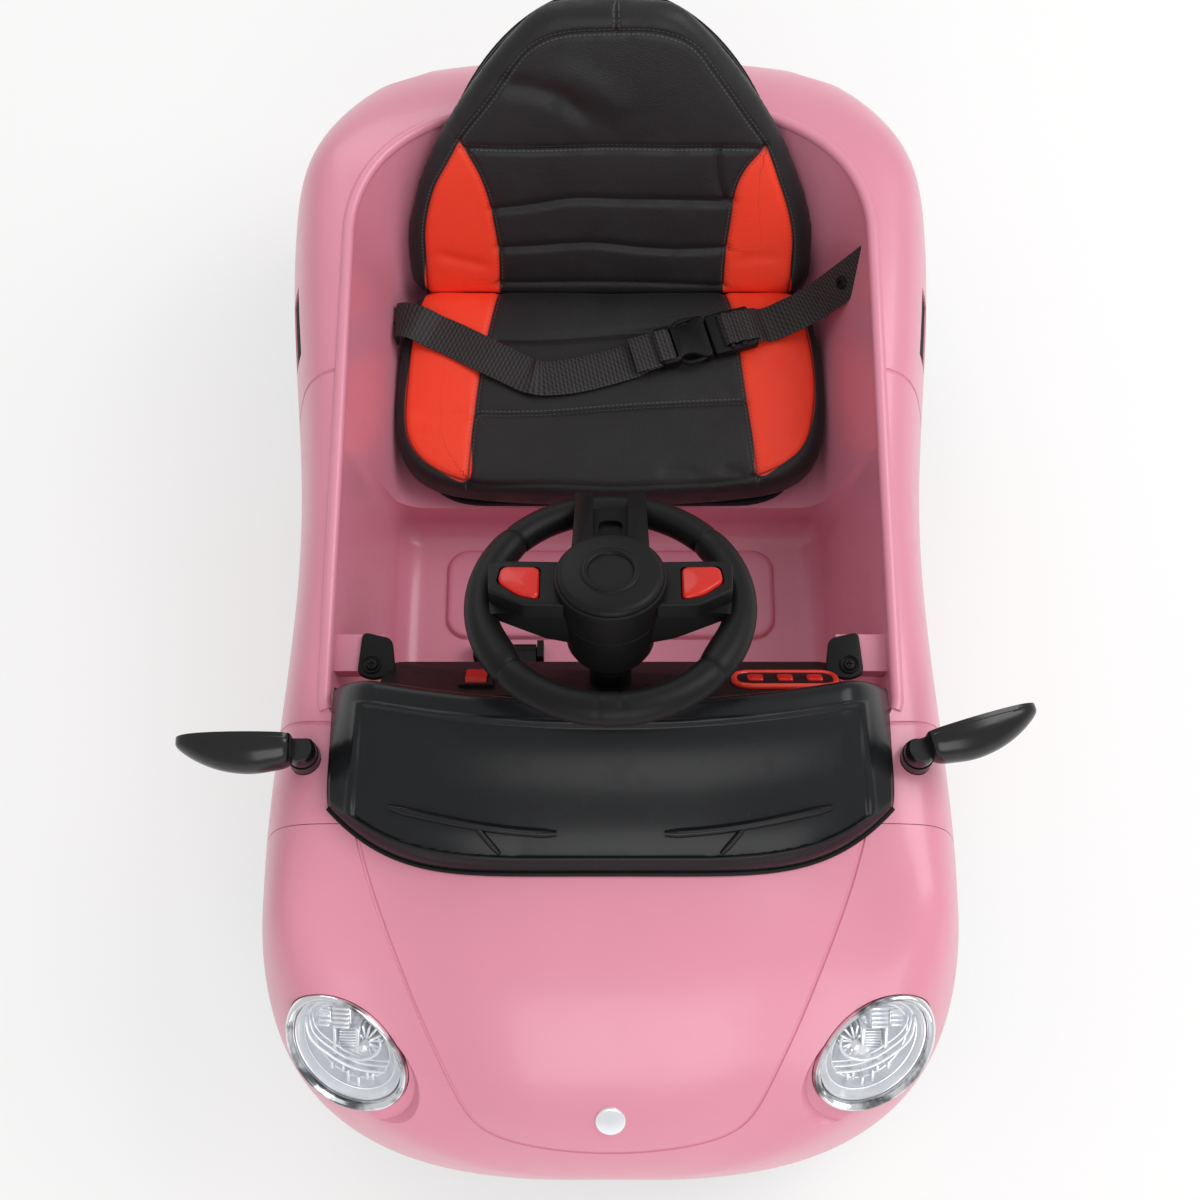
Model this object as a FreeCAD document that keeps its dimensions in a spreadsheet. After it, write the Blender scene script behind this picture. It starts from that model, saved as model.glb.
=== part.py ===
import FreeCAD, Part
import math
import os
import re

import Sketcher

Vector = FreeCAD.Vector
Rotation = FreeCAD.Rotation
Placement = FreeCAD.Placement

# A child's electric ride-on car. Millimetres, nose towards -Y, left of the driver +X, ground at z = 0.
SIZES = {
    # body shells
    "body_length": 1050,
    "front_width": 588,
    "waist_width": 560,
    "rear_width": 604,
    "nose_depth": 224,
    "tail_depth": 215,
    "shell_wall": 4,
    "sill_height": 60,
    "sill_tuck": 24,
    "hood_height": 336,
    "waist_height": 346,
    "deck_height": 352,
    "nose_tip_height": 165,
    "tail_tip_height": 172,
    "fender_groove": 7,
    "shell_split": 262,
    "seam_gap": 0.6,
    # tub
    "floor_height": 112,
    "floor_half": 200,
    "toe_ahead": 140,
    "seat_height": 165,
    "seat_well_half": 196,
    "seat_well_front": 80,
    "seat_well_rear": 312,
    "rim_half": 232,
    "rim_height": 340,
    "rim_ahead": 190,
    "rim_rear": 402,
    # wheels and axles
    "front_axle_ahead": 300,
    "rear_axle_behind": 312,
    "wheel_dia": 190,
    "wheel_width": 62,
    "wheel_face": 282,
    "axle_dia": 10,
    "arch_gap": 21,
    "hubcap_dia": 120,
    "kingpin_half": 180,
    "steer_arm": 40,
    "running_gap": 0.06,
    # steering column
    "column_tilt": 20,
    "steer_ahead": 113,
    "steer_height": 430,
    "steer_dia": 226,
    "rim_tube": 26,
    "hub_dia": 86,
    "shaft_dia": 12,
    "shaft_length": 306,
    # seat
    "seat_length": 208,
    "seat_width": 394,
    "seat_thick": 52,
    "back_half": 187,
    "back_height": 296,
    "back_tilt": 25,
    "back_thick": 24,
    "back_foot": 291,
    "belt_width": 36,
    "belt_thick": 2.2,
    # windscreen cover and dash
    "cover_half": 225,
    "cover_front": 303,
    "cover_rear": 180,
    "cover_top": 398,
    "cover_wall": 3.2,
    "dash_wall": 4,
    "dash_half": 190,
    "dash_top": 372,
    "dash_top_ahead": 172,
    "dash_foot": 298,
    "dash_foot_ahead": 120,
    # lamps and mirrors
    "lamp_dia": 112,
    "lamp_side": 208,
    "lamp_ahead": 424,
    "lamp_height": 274,
    "tail_lamp_dia": 58,
    "mirror_side": 246,
    "mirror_ahead": 208,
    "mirror_length": 98,
    # drive
    "gear_module": 1.25,
    "gear_teeth": 56,
    "pinion_teeth": 14,
    "gear_width": 12,
    "motor_dia": 36,
    "motor_length": 52,
}

document = FreeCAD.newDocument("RideOnCar")
sheet = document.addObject("Spreadsheet::Sheet", "Sizes")
for row, (name, number) in enumerate(SIZES.items(), start=1):
    sheet.set("A%d" % row, str(number))
    sheet.setAlias("A%d" % row, name)
document.recompute()


class Measures:
    """The sheet's values by name."""

    def __getattr__(self, name):
        return float(getattr(sheet, name))


M = Measures()
nodes = []


def bound(text):
    """An expression in which every named size points to its cell."""

    def cell(word):
        return "Sizes." + word.group(0) if word.group(0) in SIZES else word.group(0)

    return re.sub(r"[a-z][a-z_]*", cell, str(text))


def node(item):
    nodes.append(item)
    return item


def put(item, x, y, z, turn=None):
    item.Placement = Placement(Vector(), turn or Rotation())
    for axis, text in zip("xyz", (x, y, z)):
        item.setExpression("Placement.Base." + axis, bound(text))


def block(name, sizes, centre):
    """A box by its three sizes and its centre."""
    item = document.addObject("Part::Box", name)
    for key, text in zip(("Length", "Width", "Height"), sizes):
        item.setExpression(key, bound(text))
    put(item, *["(%s)-(%s)/2" % pair for pair in zip(centre, sizes)])
    return item


ALONG = {
    "x": Rotation(Vector(0, 1, 0), 90),
    "y": Rotation(Vector(1, 0, 0), -90),
    "z": Rotation(),
}


def rod(name, radius, length, start, along="z"):
    """A cylinder from its start point along an axis."""
    item = document.addObject("Part::Cylinder", name)
    item.setExpression("Radius", bound(radius))
    item.setExpression("Height", bound(length))
    turn = ALONG[along] if isinstance(along, str) else Rotation(Vector(0, 0, 1), along)
    put(item, *start, turn)
    return item


def cone(name, radius_start, radius_end, length, start, along="z"):
    item = document.addObject("Part::Cone", name)
    item.setExpression("Radius1", bound(radius_start))
    item.setExpression("Radius2", bound(radius_end))
    item.setExpression("Height", bound(length))
    turn = ALONG[along] if isinstance(along, str) else Rotation(Vector(0, 0, 1), along)
    put(item, *start, turn)
    return item


def fuse(name, *pieces):
    item = document.addObject("Part::MultiFuse", name)
    item.Shapes = list(pieces)
    return item


def group(name, *pieces):
    item = document.addObject("Part::Compound", name)
    item.Links = list(pieces)
    return item


def cut(name, base, *tools):
    item = document.addObject("Part::Cut", name)
    item.Base = base
    item.Tool = tools[0] if len(tools) == 1 else group(name + "_tools", *tools)
    return item


def common(name, first, second):
    item = document.addObject("Part::MultiCommon", name)
    item.Shapes = [first, second]
    return item


def form(name, shape, place=None):
    """A free form that no primitive gives, its sizes read from the sheet."""
    item = document.addObject("Part::Feature", name)
    item.Shape = shape
    if place:
        item.Placement = place
    return item


def plate(name, corners, thickness, holes=(), inner=()):
    """A padded sketch of corners, round holes (x, y, radius) and inner outlines."""
    body = document.addObject("PartDesign::Body", name)
    sketch = body.newObject("Sketcher::SketchObject", name + "_sketch")
    for outline in [corners, *inner]:
        spots = [Vector(float(i), float(i * i), 0) for i in range(len(outline))]
        first = sketch.GeometryCount
        for spot, after in zip(spots, spots[1:] + spots[:1]):
            sketch.addGeometry(Part.LineSegment(spot, after), False)
        last = sketch.GeometryCount
        for line in range(first, last):
            after = line + 1 if line + 1 < last else first
            sketch.addConstraint(Sketcher.Constraint("Coincident", line, 2, after, 1))
        for line, (x, y) in zip(range(first, last), outline):
            fix(sketch, "DistanceX", line, 1, x)
            fix(sketch, "DistanceY", line, 1, y)
    for x, y, radius in holes:
        ring = sketch.addGeometry(Part.Circle(Vector(0, 0, 0), Vector(0, 0, 1), 1.0), False)
        at = sketch.addConstraint(Sketcher.Constraint("Radius", ring, 1.0))
        sketch.setExpression("Constraints[%d]" % at, bound(radius))
        fix(sketch, "DistanceX", ring, 3, x)
        fix(sketch, "DistanceY", ring, 3, y)
    pad = body.newObject("PartDesign::Pad", name + "_pad")
    pad.Profile = sketch
    pad.setExpression("Length", bound(thickness))
    return body


def fix(sketch, kind, line, point, text):
    at = sketch.addConstraint(Sketcher.Constraint(kind, line, point, 1.0))
    sketch.setExpression("Constraints[%d]" % at, bound(text))


def sides(make):
    """The same piece on the left (+1) and on the right (-1)."""
    return [make("left", 1), make("right", -1)]


# Body form: sections across the car, drawn in to a rounded nose and tail.
NOSE_ROUND = 2.6
TAIL_ROUND = 3.2
HOOD_ROUND = 1.9
DECK_ROUND = 2.6
BELLY_DEPTH = 45
BELLY_RISE = 92


def rise(share, power):
    """A rounded climb from 0 to 1."""
    share = min(max(share, 0.0), 1.0)
    return (1 - (1 - share) ** power) ** (1 / power)


def ease(share):
    share = min(max(share, 0.0), 1.0)
    return share * share * (3 - 2 * share)


def half_width(y, inset):
    nose = -M.body_length / 2 + inset
    tail = M.body_length / 2 - inset
    front = M.front_width / 2 - inset
    rear = M.rear_width / 2 - inset
    if y < nose + M.nose_depth:
        return front * rise((y - nose) / M.nose_depth, NOSE_ROUND)
    if y > tail - M.tail_depth:
        return rear * rise((tail - y) / M.tail_depth, TAIL_ROUND)
    share = (y - nose - M.nose_depth) / (tail - nose - M.tail_depth - M.nose_depth)
    dip = (front + rear) / 2 - (M.waist_width / 2 - inset)
    return front + (rear - front) * share - dip * math.sin(math.pi * share) ** 2


def crown(y, inset):
    """Height of the body's top on the centre line."""
    nose = -M.body_length / 2 + inset
    tail = M.body_length / 2 - inset
    cowl = nose + M.nose_depth
    deck = tail - M.tail_depth
    if y < cowl:
        climb = rise((y - nose) / M.nose_depth, HOOD_ROUND)
        return M.nose_tip_height + (M.hood_height - inset - M.nose_tip_height) * climb
    if y > deck:
        climb = rise((tail - y) / M.tail_depth, DECK_ROUND)
        return M.tail_tip_height + (M.deck_height - inset - M.tail_tip_height) * climb
    if y < 0:
        return M.hood_height - inset + (M.waist_height - M.hood_height) * ease((y - cowl) / -cowl)
    return M.waist_height - inset + (M.deck_height - M.waist_height) * ease(y / deck)


def belly(y, inset):
    """Height of the body's lower edge."""
    gap = min(y + M.body_length / 2, M.body_length / 2 - y) - inset
    tip = M.nose_tip_height if y < 0 else M.tail_tip_height
    return tip - (tip - M.sill_height) * rise(gap / BELLY_DEPTH, 2.2)


def mix(first, second, share):
    return first + (second - first) * share


def section(y, inset, drop):
    width = half_width(y, inset)
    low = belly(y, inset)
    top = crown(y, inset)
    tall = top - low
    nose = -M.body_length / 2
    snout = 1 - ease((y - nose - 60) / 150)
    stern = ease((y - M.body_length / 2 + 190) / 130)
    soft = max(snout, stern)
    scale = width / (M.front_width / 2)
    hood = ease((y - nose) / 60) * (1 - ease((y - nose - 200) / 70))
    groove = M.fender_groove * hood
    half = [
        (width - (M.sill_tuck + drop / 4) * scale, low - drop),
        (width - 0.3 * M.sill_tuck * scale, low + 0.2 * tall),
        (width, low + 0.46 * tall),
        (width * mix(0.955, 0.93, soft), low + mix(0.79, 0.72, soft) * tall),
        (width * mix(0.875, 0.815, soft), low + mix(0.945, 0.885, soft) * tall),
        (width * mix(0.72, 0.64, soft), low + mix(0.977, 0.945, soft) * tall - groove),
        (width * 0.36, low + 0.985 * tall),
    ]
    right = [Vector(x, y, z) for x, z in half]
    left = [Vector(-x, y, z) for x, z in reversed(half)]
    curve = Part.BSplineCurve()
    curve.interpolate(right + [Vector(0, y, top)] + left)
    return Part.Wire([curve.toShape(), Part.makeLine(left[-1], right[0])])


END_STEPS = (0.003, 0.02, 0.06, 0.13, 0.23, 0.37, 0.55, 0.77, 1.0)
MIDDLE_STEPS = 9


def body_form(inset, drop):
    nose = -M.body_length / 2 + inset
    tail = M.body_length / 2 - inset
    cowl = nose + M.nose_depth
    deck = tail - M.tail_depth
    stations = [nose + share * M.nose_depth for share in END_STEPS]
    stations += [mix(cowl, deck, i / MIDDLE_STEPS) for i in range(1, MIDDLE_STEPS)]
    stations += [tail - share * M.tail_depth for share in reversed(END_STEPS)]
    return Part.makeLoft([section(y, inset, drop) for y in stations], True, False)


def rounded(half, front, rear, front_radius, rear_radius, z):
    """A rounded rectangle, its sides along Y."""

    def corner(x, y, radius, start):
        spots = [math.radians(start + turn) for turn in (0, 45, 90)]
        arc = [Vector(x + radius * math.cos(a), y + radius * math.sin(a), z) for a in spots]
        return Part.Arc(*arc).toShape()

    arcs = [
        corner(half - front_radius, front + front_radius, front_radius, -90),
        corner(half - rear_radius, rear - rear_radius, rear_radius, 0),
        corner(rear_radius - half, rear - rear_radius, rear_radius, 90),
        corner(front_radius - half, front + front_radius, front_radius, 180),
    ]
    edges = []
    for arc, after in zip(arcs, arcs[1:] + arcs[:1]):
        edges += [arc, Part.makeLine(arc.lastVertex().Point, after.firstVertex().Point)]
    return Part.Wire(edges)


TUB_TOP = 430
FOOT_CORNER = 34
SEAT_CORNER = 40
RIM_CORNER = 132


def well(grow):
    """The hollow of the cabin: the footwell and the seat well, drawn out by a wall."""

    def at(z, low, near, far):
        return near + (far - near) * (z - low) / (M.rim_height - low)

    foot_low = M.floor_height - grow
    seat_low = M.seat_height - grow
    foot = [
        rounded(
            at(z, M.floor_height, M.floor_half, M.rim_half) + grow,
            -at(z, M.floor_height, M.toe_ahead, M.rim_ahead) - grow,
            M.seat_well_front + grow,
            FOOT_CORNER,
            FOOT_CORNER / 2,
            z,
        )
        for z in (foot_low, TUB_TOP)
    ]
    seat = [
        rounded(
            at(z, M.seat_height, M.seat_well_half, M.rim_half) + grow,
            M.seat_well_front - 60 - grow,
            at(z, M.seat_height, M.seat_well_rear, M.rim_rear) + grow,
            FOOT_CORNER / 2,
            at(z, M.seat_height, SEAT_CORNER, RIM_CORNER),
            z,
        )
        for z in (seat_low, TUB_TOP)
    ]
    lofts = [Part.makeLoft(pair, True, True) for pair in (foot, seat)]
    return lofts[0].fuse(lofts[1])


outer_form = form("outer_form", body_form(0, 0))
clear_form = form("clear_form", body_form(-0.3, 0))
inner_form = form("inner_form", body_form(M.shell_wall, 14))
backing_form = form("backing_form", body_form(M.shell_wall + 0.2, 14))
well_inside = form("well_inside", well(0))
well_outside = form("well_outside", well(M.shell_wall))
TALL = 600
hollow = cut("hollow", inner_form, well_outside)
skin = cut("skin", outer_form, hollow)
tub = cut("tub", skin, well_inside)
front_space = block(
    "front_space",
    ("2*rear_width", "body_length", TALL),
    (0, "-body_length/2-shell_split", 200),
)
rear_space = block(
    "rear_space",
    ("2*rear_width", "body_length", TALL),
    (0, "body_length/2-shell_split+seam_gap", 200),
)


def arch(name, side, y):
    start = "wheel_face-wheel_width-6" if side > 0 else "-wheel_face+wheel_width+6-140"
    return rod(name, "wheel_dia/2+arch_gap", 140, (start, y, "wheel_dia/2"), "x")


# Lamps look out along the rounded corners of the body.
LAMP_OUT = 0.5
LAMP_UP = 0.7
TAIL_OUT = 0.42
TAIL_BACK = 0.72
TAIL_UP = 0.5
TAIL_SIDE = 196
TAIL_BEHIND = 478
TAIL_HEIGHT = 268


def lamp_way(side):
    return Vector(side * LAMP_OUT, -LAMP_OUT, LAMP_UP).normalize()


def tail_way(side):
    return Vector(side * TAIL_OUT, TAIL_BACK, TAIL_UP).normalize()


def lamp_spot(side, start):
    """A point on the headlight's axis, measured from the lamp's middle."""
    way = lamp_way(side)
    return [
        "%d*lamp_side+%.6f*(%s)" % (side, way.x, start),
        "-lamp_ahead+%.6f*(%s)" % (way.y, start),
        "lamp_height+%.6f*(%s)" % (way.z, start),
    ]


def lamp_rod(name, side, radius, start, length):
    return rod(name, radius, length, lamp_spot(side, start), lamp_way(side))


def lamp_cone(name, side, near, far, start, length):
    return cone(name, near, far, length, lamp_spot(side, start), lamp_way(side))


def tail_spot(side, start):
    way = tail_way(side)
    return [
        "%f+%.6f*(%s)" % (side * TAIL_SIDE, way.x, start),
        "%f+%.6f*(%s)" % (TAIL_BEHIND, way.y, start),
        "%f+%.6f*(%s)" % (TAIL_HEIGHT, way.z, start),
    ]


def tail_rod(name, side, radius, start, length):
    return rod(name, radius, length, tail_spot(side, start), tail_way(side))


def tail_cone(name, side, near, far, start, length):
    return cone(name, near, far, length, tail_spot(side, start), tail_way(side))


front_open = [arch("front_arch_" + n, s, "-front_axle_ahead") for n, s in (("left", 1), ("right", -1))]
front_open += [
    lamp_rod("lamp_bore_" + n, s, "lamp_dia/2+0.3", -60, 140) for n, s in (("left", 1), ("right", -1))
]
front_block = common("front_block", tub, front_space)
node(cut("front_body_shell", front_block, *front_open))

# The main shell has two bosses for the dash and holes for column, lamps, vents, mirrors and belts.
EAR_Y = -114
EAR_Z = 316
BOSS_Z = 300
VENT_Y = 206
VENT_Z = 268
VENT_LONG = 58
VENT_HIGH = 24
BELT_RIGHT = (-198.6, 250.0, 213.0)
BELT_LEFT = (213.0, 278.0, 292.0)


def belt_hole(name, spot, start, length):
    """A screw's way across a belt's end, its start measured from the spot."""
    x, y, z = spot
    return rod(name, 2.2, length, (x + start, y, z), "x")


def boss(name, side):
    return block(
        "boss_" + name,
        (42, 32, EAR_Z - BOSS_Z),
        ("%d*(rim_half-23.5)" % side, EAR_Y, (EAR_Z + BOSS_Z) / 2),
    )


def boss_hole(name, side):
    spot = ("%d*(rim_half-35)" % side, EAR_Y - 12, BOSS_Z - 1)
    return rod("boss_hole_" + name, 2.1, 40, spot)


def column_spot(start):
    """A point on the steering axis, measured along it from the wheel's middle."""
    tilt = math.radians(M.column_tilt)
    return (
        0,
        "-steer_ahead+%.6f*(%s)" % (math.sin(tilt), start),
        "steer_height+%.6f*(%s)" % (math.cos(tilt), start),
    )


def column_place(item, start=0):
    put(item, *column_spot(start), Rotation(Vector(1, 0, 0), -M.column_tilt))


def column_rod(name, radius, start, length):
    item = rod(name, radius, length, (0, 0, 0))
    column_place(item, start)
    return item


main_open = [arch("rear_arch_" + n, s, "rear_axle_behind") for n, s in (("left", 1), ("right", -1))]
main_open += front_open[:2]
for name, side in (("left", 1), ("right", -1)):
    main_open += [
        tail_rod("tail_bore_" + name, side, "tail_lamp_dia/2+0.3", -40, 90),
        boss_hole(name, side),
        rod(
            "mirror_bore_" + name,
            13.3,
            80,
            ("%d*mirror_side" % side, "-mirror_ahead", "hood_height-60"),
        ),
        block(
            "vent_slot_" + name,
            (60, VENT_LONG, VENT_HIGH),
            ("%d*rear_width/2" % side, VENT_Y, VENT_Z),
        ),
    ]
main_open += [
    column_rod("column_way", "shaft_dia/2+8", -290, 200),
    belt_hole("belt_way_right", BELT_RIGHT, -30, 30),
    belt_hole("belt_way_left", BELT_LEFT, 0, 30),
]
main_block = common("main_block", tub, rear_space)
main_whole = fuse("main_whole", main_block, *sides(boss))
node(cut("main_body_shell", main_whole, *main_open))

# Chassis tray under the tub, with posts for both axles and a bridge for the steering shaft.
TRAY_WALL = 4
TRAY_NARROW = 120
TRAY_WIDE = 188
TRAY_FRONT = 430
TRAY_REAR = 440
TRAY_STEP_FRONT = 196
TRAY_STEP_REAR = 206
tray_corners = [
    (-TRAY_NARROW, -TRAY_FRONT),
    (TRAY_NARROW, -TRAY_FRONT),
    (TRAY_NARROW, -TRAY_STEP_FRONT),
    (TRAY_WIDE, -TRAY_STEP_FRONT),
    (TRAY_WIDE, TRAY_STEP_REAR),
    (TRAY_NARROW + 28, TRAY_STEP_REAR),
    (TRAY_NARROW + 28, TRAY_REAR),
    (-TRAY_NARROW - 28, TRAY_REAR),
    (-TRAY_NARROW - 28, TRAY_STEP_REAR),
    (-TRAY_WIDE, TRAY_STEP_REAR),
    (-TRAY_WIDE, -TRAY_STEP_FRONT),
    (-TRAY_NARROW, -TRAY_STEP_FRONT),
]
tray_floor = plate("tray_floor", tray_corners, TRAY_WALL)
put(tray_floor, 0, 0, "sill_height")
TRAY_TOP = "sill_height+%d" % TRAY_WALL
BEAM_HIGH = 16
SLEEVE_LOW = 11
SLEEVE_TALL = 40
beam_height = "wheel_dia/2+%d+%d/2" % (SLEEVE_LOW, SLEEVE_TALL)


def tray_wall(name, side):
    tall = "floor_height-shell_wall-(%s)" % TRAY_TOP
    return block(
        "tray_wall_" + name,
        (TRAY_WALL, TRAY_STEP_REAR + TRAY_STEP_FRONT - 60, tall),
        (
            side * (TRAY_WIDE - TRAY_WALL / 2),
            (TRAY_STEP_REAR - TRAY_STEP_FRONT) / 2 + 30,
            "(%s)+(%s)/2" % (TRAY_TOP, tall),
        ),
    )


def front_post(name, side):
    tall = "%s-%d/2-(%s)" % (beam_height, BEAM_HIGH, TRAY_TOP)
    return block(
        "front_post_" + name,
        (26, 26, tall),
        (side * 92, "-front_axle_ahead", "(%s)+(%s)/2" % (TRAY_TOP, tall)),
    )


def rear_post(name, side):
    tall = "wheel_dia/2+14-(%s)" % TRAY_TOP
    return block(
        "rear_post_" + name,
        (12, 30, tall),
        (side * 132, "rear_axle_behind", "(%s)+(%s)/2" % (TRAY_TOP, tall)),
    )


BRIDGE_HALF = 42
BRIDGE_AT = -290


def bridge_leg(name, side):
    tilt = math.radians(M.column_tilt)
    tall = "steer_height+%f-(%s)" % (BRIDGE_AT * math.cos(tilt) + 6, TRAY_TOP)
    return block(
        "bridge_leg_" + name,
        (6, 24, tall),
        (
            side * BRIDGE_HALF,
            "-steer_ahead+%f" % (BRIDGE_AT * math.sin(tilt)),
            "(%s)+(%s)/2" % (TRAY_TOP, tall),
        ),
    )


bridge_top = block("bridge_top", (2 * BRIDGE_HALF + 6, 30, 10), (0, 0, BRIDGE_AT))
bridge_turned = group("bridge_turned", bridge_top)
column_place(bridge_turned)
tray_solid = fuse(
    "tray_solid",
    tray_floor,
    *sides(tray_wall),
    *sides(front_post),
    *sides(rear_post),
    *sides(bridge_leg),
    bridge_turned,
)
rear_hole = rod(
    "rear_hole", "axle_dia/2+0.1", 400, (-200, "rear_axle_behind", "wheel_dia/2"), "x"
)
bridge_hole = column_rod("bridge_hole", "shaft_dia/2+running_gap", BRIDGE_AT - 30, 60)
node(cut("chassis_tray", tray_solid, rear_hole, bridge_hole))

# Front axle beam with a sleeve for each kingpin.
beam_bar = block(
    "beam_bar",
    ("2*kingpin_half", BEAM_HIGH, BEAM_HIGH),
    (0, "-front_axle_ahead", beam_height),
)


def sleeve(name, side, radius, extra):
    spot = ("%d*kingpin_half" % side, "-front_axle_ahead", "wheel_dia/2+%d-%d" % (SLEEVE_LOW, extra))
    return rod(name, radius, SLEEVE_TALL + 2 * extra, spot)


SLEEVE_RADIUS = 11
beam_solid = fuse(
    "beam_solid",
    beam_bar,
    sleeve("sleeve_left", 1, SLEEVE_RADIUS, 0),
    sleeve("sleeve_right", -1, SLEEVE_RADIUS, 0),
)
node(
    cut(
        "front_axle_beam",
        beam_solid,
        sleeve("sleeve_bore_left", 1, "axle_dia/2+running_gap", 1),
        sleeve("sleeve_bore_right", -1, "axle_dia/2+running_gap", 1),
    )
)

# Knuckles: a bent rod, upright in the sleeve and level through the wheel, with a steering arm.
ARM_LOW = 5
ARM_THICK = 4
TIE_LOW = 13
TIE_THICK = 4
PIN_RADIUS = 3
NUT_RADIUS = 9
CAP_DEEP = 14
NUT_DEEP = 24


def knuckle(name, side):
    pin = ("%d*kingpin_half" % side, "-front_axle_ahead", "wheel_dia/2")
    upright = rod("upright_" + name, "axle_dia/2", SLEEVE_LOW + SLEEVE_TALL + 6, pin)
    elbow = document.addObject("Part::Sphere", "elbow_" + name)
    elbow.setExpression("Radius", bound("axle_dia/2"))
    put(elbow, *pin)
    reach = "wheel_face-%d+9-kingpin_half" % NUT_DEEP
    start = "kingpin_half" if side > 0 else "-kingpin_half-(%s)" % reach
    stub = rod("stub_" + name, "axle_dia/2", reach, (start, pin[1], pin[2]), "x")
    collar_at = "wheel_face-wheel_width-6" if side > 0 else "-(wheel_face-wheel_width)+0.5"
    collar = rod("collar_" + name, NUT_RADIUS, 5.5, (collar_at, pin[1], pin[2]), "x")
    nut_at = "wheel_face-%d+0.4" % NUT_DEEP if side > 0 else "-(wheel_face-%d+0.4)-7" % NUT_DEEP
    nut = rod("nut_" + name, NUT_RADIUS, 7, (nut_at, pin[1], pin[2]), "x")
    washer_at = "wheel_dia/2+%f" % (SLEEVE_LOW + SLEEVE_TALL + 0.5)
    washer = rod("washer_" + name, NUT_RADIUS, 4, (pin[0], pin[1], washer_at))
    arm = block(
        "arm_" + name,
        (16, "steer_arm", ARM_THICK),
        (pin[0], "-front_axle_ahead+steer_arm/2", "wheel_dia/2+%d+%d/2" % (ARM_LOW, ARM_THICK)),
    )
    eye = rod(
        "eye_" + name,
        8,
        ARM_THICK,
        (pin[0], "-front_axle_ahead+steer_arm", "wheel_dia/2+%d" % ARM_LOW),
    )
    ball = rod(
        "arm_pin_" + name,
        PIN_RADIUS,
        TIE_LOW + TIE_THICK + 4 - ARM_LOW,
        (pin[0], "-front_axle_ahead+steer_arm", "wheel_dia/2+%d" % ARM_LOW),
    )
    return node(fuse(name + "_knuckle", upright, elbow, stub, collar, nut, washer, arm, eye, ball))


sides(knuckle)

# Tie rod: a flat bar between the arms, its tongue reaching back to the shaft's crank.
tilt = math.radians(M.column_tilt)
CRANK_PIN = 4
crank_y = -M.steer_ahead - M.shaft_length * math.sin(tilt) + M.steer_arm * math.cos(tilt)
crank_z = M.steer_height - M.shaft_length * math.cos(tilt) - M.steer_arm * math.sin(tilt)
tie_z = M.wheel_dia / 2 + TIE_LOW + TIE_THICK / 2
slot_y = crank_y - (crank_z - tie_z) * math.tan(tilt)
slot_half = (CRANK_PIN / math.cos(tilt) + TIE_THICK / 2 * math.tan(tilt)) + 1.2
TIE_HALF = 9
TONGUE_HALF = 13
tie_y = "-front_axle_ahead+steer_arm"
tongue_end = slot_y + slot_half + 7
tie_corners = [
    ("-kingpin_half-9", "%s-%d" % (tie_y, TIE_HALF)),
    ("kingpin_half+9", "%s-%d" % (tie_y, TIE_HALF)),
    ("kingpin_half+9", "%s+%d" % (tie_y, TIE_HALF)),
    (TONGUE_HALF, "%s+%d" % (tie_y, TIE_HALF)),
    (TONGUE_HALF, tongue_end),
    (-TONGUE_HALF, tongue_end),
    (-TONGUE_HALF, "%s+%d" % (tie_y, TIE_HALF)),
    ("-kingpin_half-9", "%s+%d" % (tie_y, TIE_HALF)),
]
tie_slot = [
    (CRANK_PIN + 0.2, slot_y - slot_half),
    (CRANK_PIN + 0.2, slot_y + slot_half),
    (-CRANK_PIN - 0.2, slot_y + slot_half),
    (-CRANK_PIN - 0.2, slot_y - slot_half),
]
tie_holes = [(sign + "kingpin_half", tie_y, "%d+running_gap" % PIN_RADIUS) for sign in ("", "-")]
tie_rod = plate("tie_rod", tie_corners, TIE_THICK, tie_holes, [tie_slot])
put(tie_rod, 0, 0, "wheel_dia/2+%d" % TIE_LOW)
node(tie_rod)

# Steering wheel, shaft and bush, drawn on the column's axis.
CRANK_THICK = 8
HUB_LOW = 46
HUB_HIGH = 34
SPOKE_LOW = 4
SPOKE_HIGH = 26
PRONG_HIGH = 18
BUTTON_NEAR = 53
BUTTON_FAR = 87
BUTTON_HALF = 16
BUTTON_TOP = 30
BUTTON_LOW = 20.5
POCKET_LOW = 17.4

shaft_bar = rod("shaft_bar", "shaft_dia/2", "shaft_length+2", (0, 0, "-shaft_length-12"))
crank = block(
    "crank",
    (16, "steer_arm+18", CRANK_THICK),
    (0, "steer_arm/2", "-shaft_length"),
)
crank_pin = rod("crank_pin", CRANK_PIN, 38, (0, "steer_arm", "-shaft_length-38"))
steering_shaft = fuse("steering_shaft", shaft_bar, crank, crank_pin)
column_place(steering_shaft)
node(steering_shaft)

BUSH_RADIUS = 17
bush_solid = column_rod("bush_solid", BUSH_RADIUS, -126, 56)
bush_bore = column_rod("bush_bore", "shaft_dia/2+running_gap", -140, 90)
node(cut("steering_bush", bush_solid, bush_bore))

steer_rim = document.addObject("Part::Torus", "steer_rim")
steer_rim.setExpression("Radius1", bound("(steer_dia-rim_tube)/2"))
steer_rim.setExpression("Radius2", bound("rim_tube/2"))
steer_hub = cone("steer_hub", "hub_dia/2-5", "hub_dia/2", HUB_LOW + HUB_HIGH, (0, 0, -HUB_LOW))
side_bar = block(
    "side_bar",
    ("steer_dia-rim_tube-10", 46, SPOKE_HIGH - SPOKE_LOW),
    (0, 0, (SPOKE_HIGH + SPOKE_LOW) / 2),
)


def prong(name, side):
    return block(
        "prong_" + name,
        (17, "(steer_dia-rim_tube)/2", PRONG_HIGH - SPOKE_LOW),
        (side * 22, "(steer_dia-rim_tube)/4", (PRONG_HIGH + SPOKE_LOW) / 2),
    )


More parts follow.
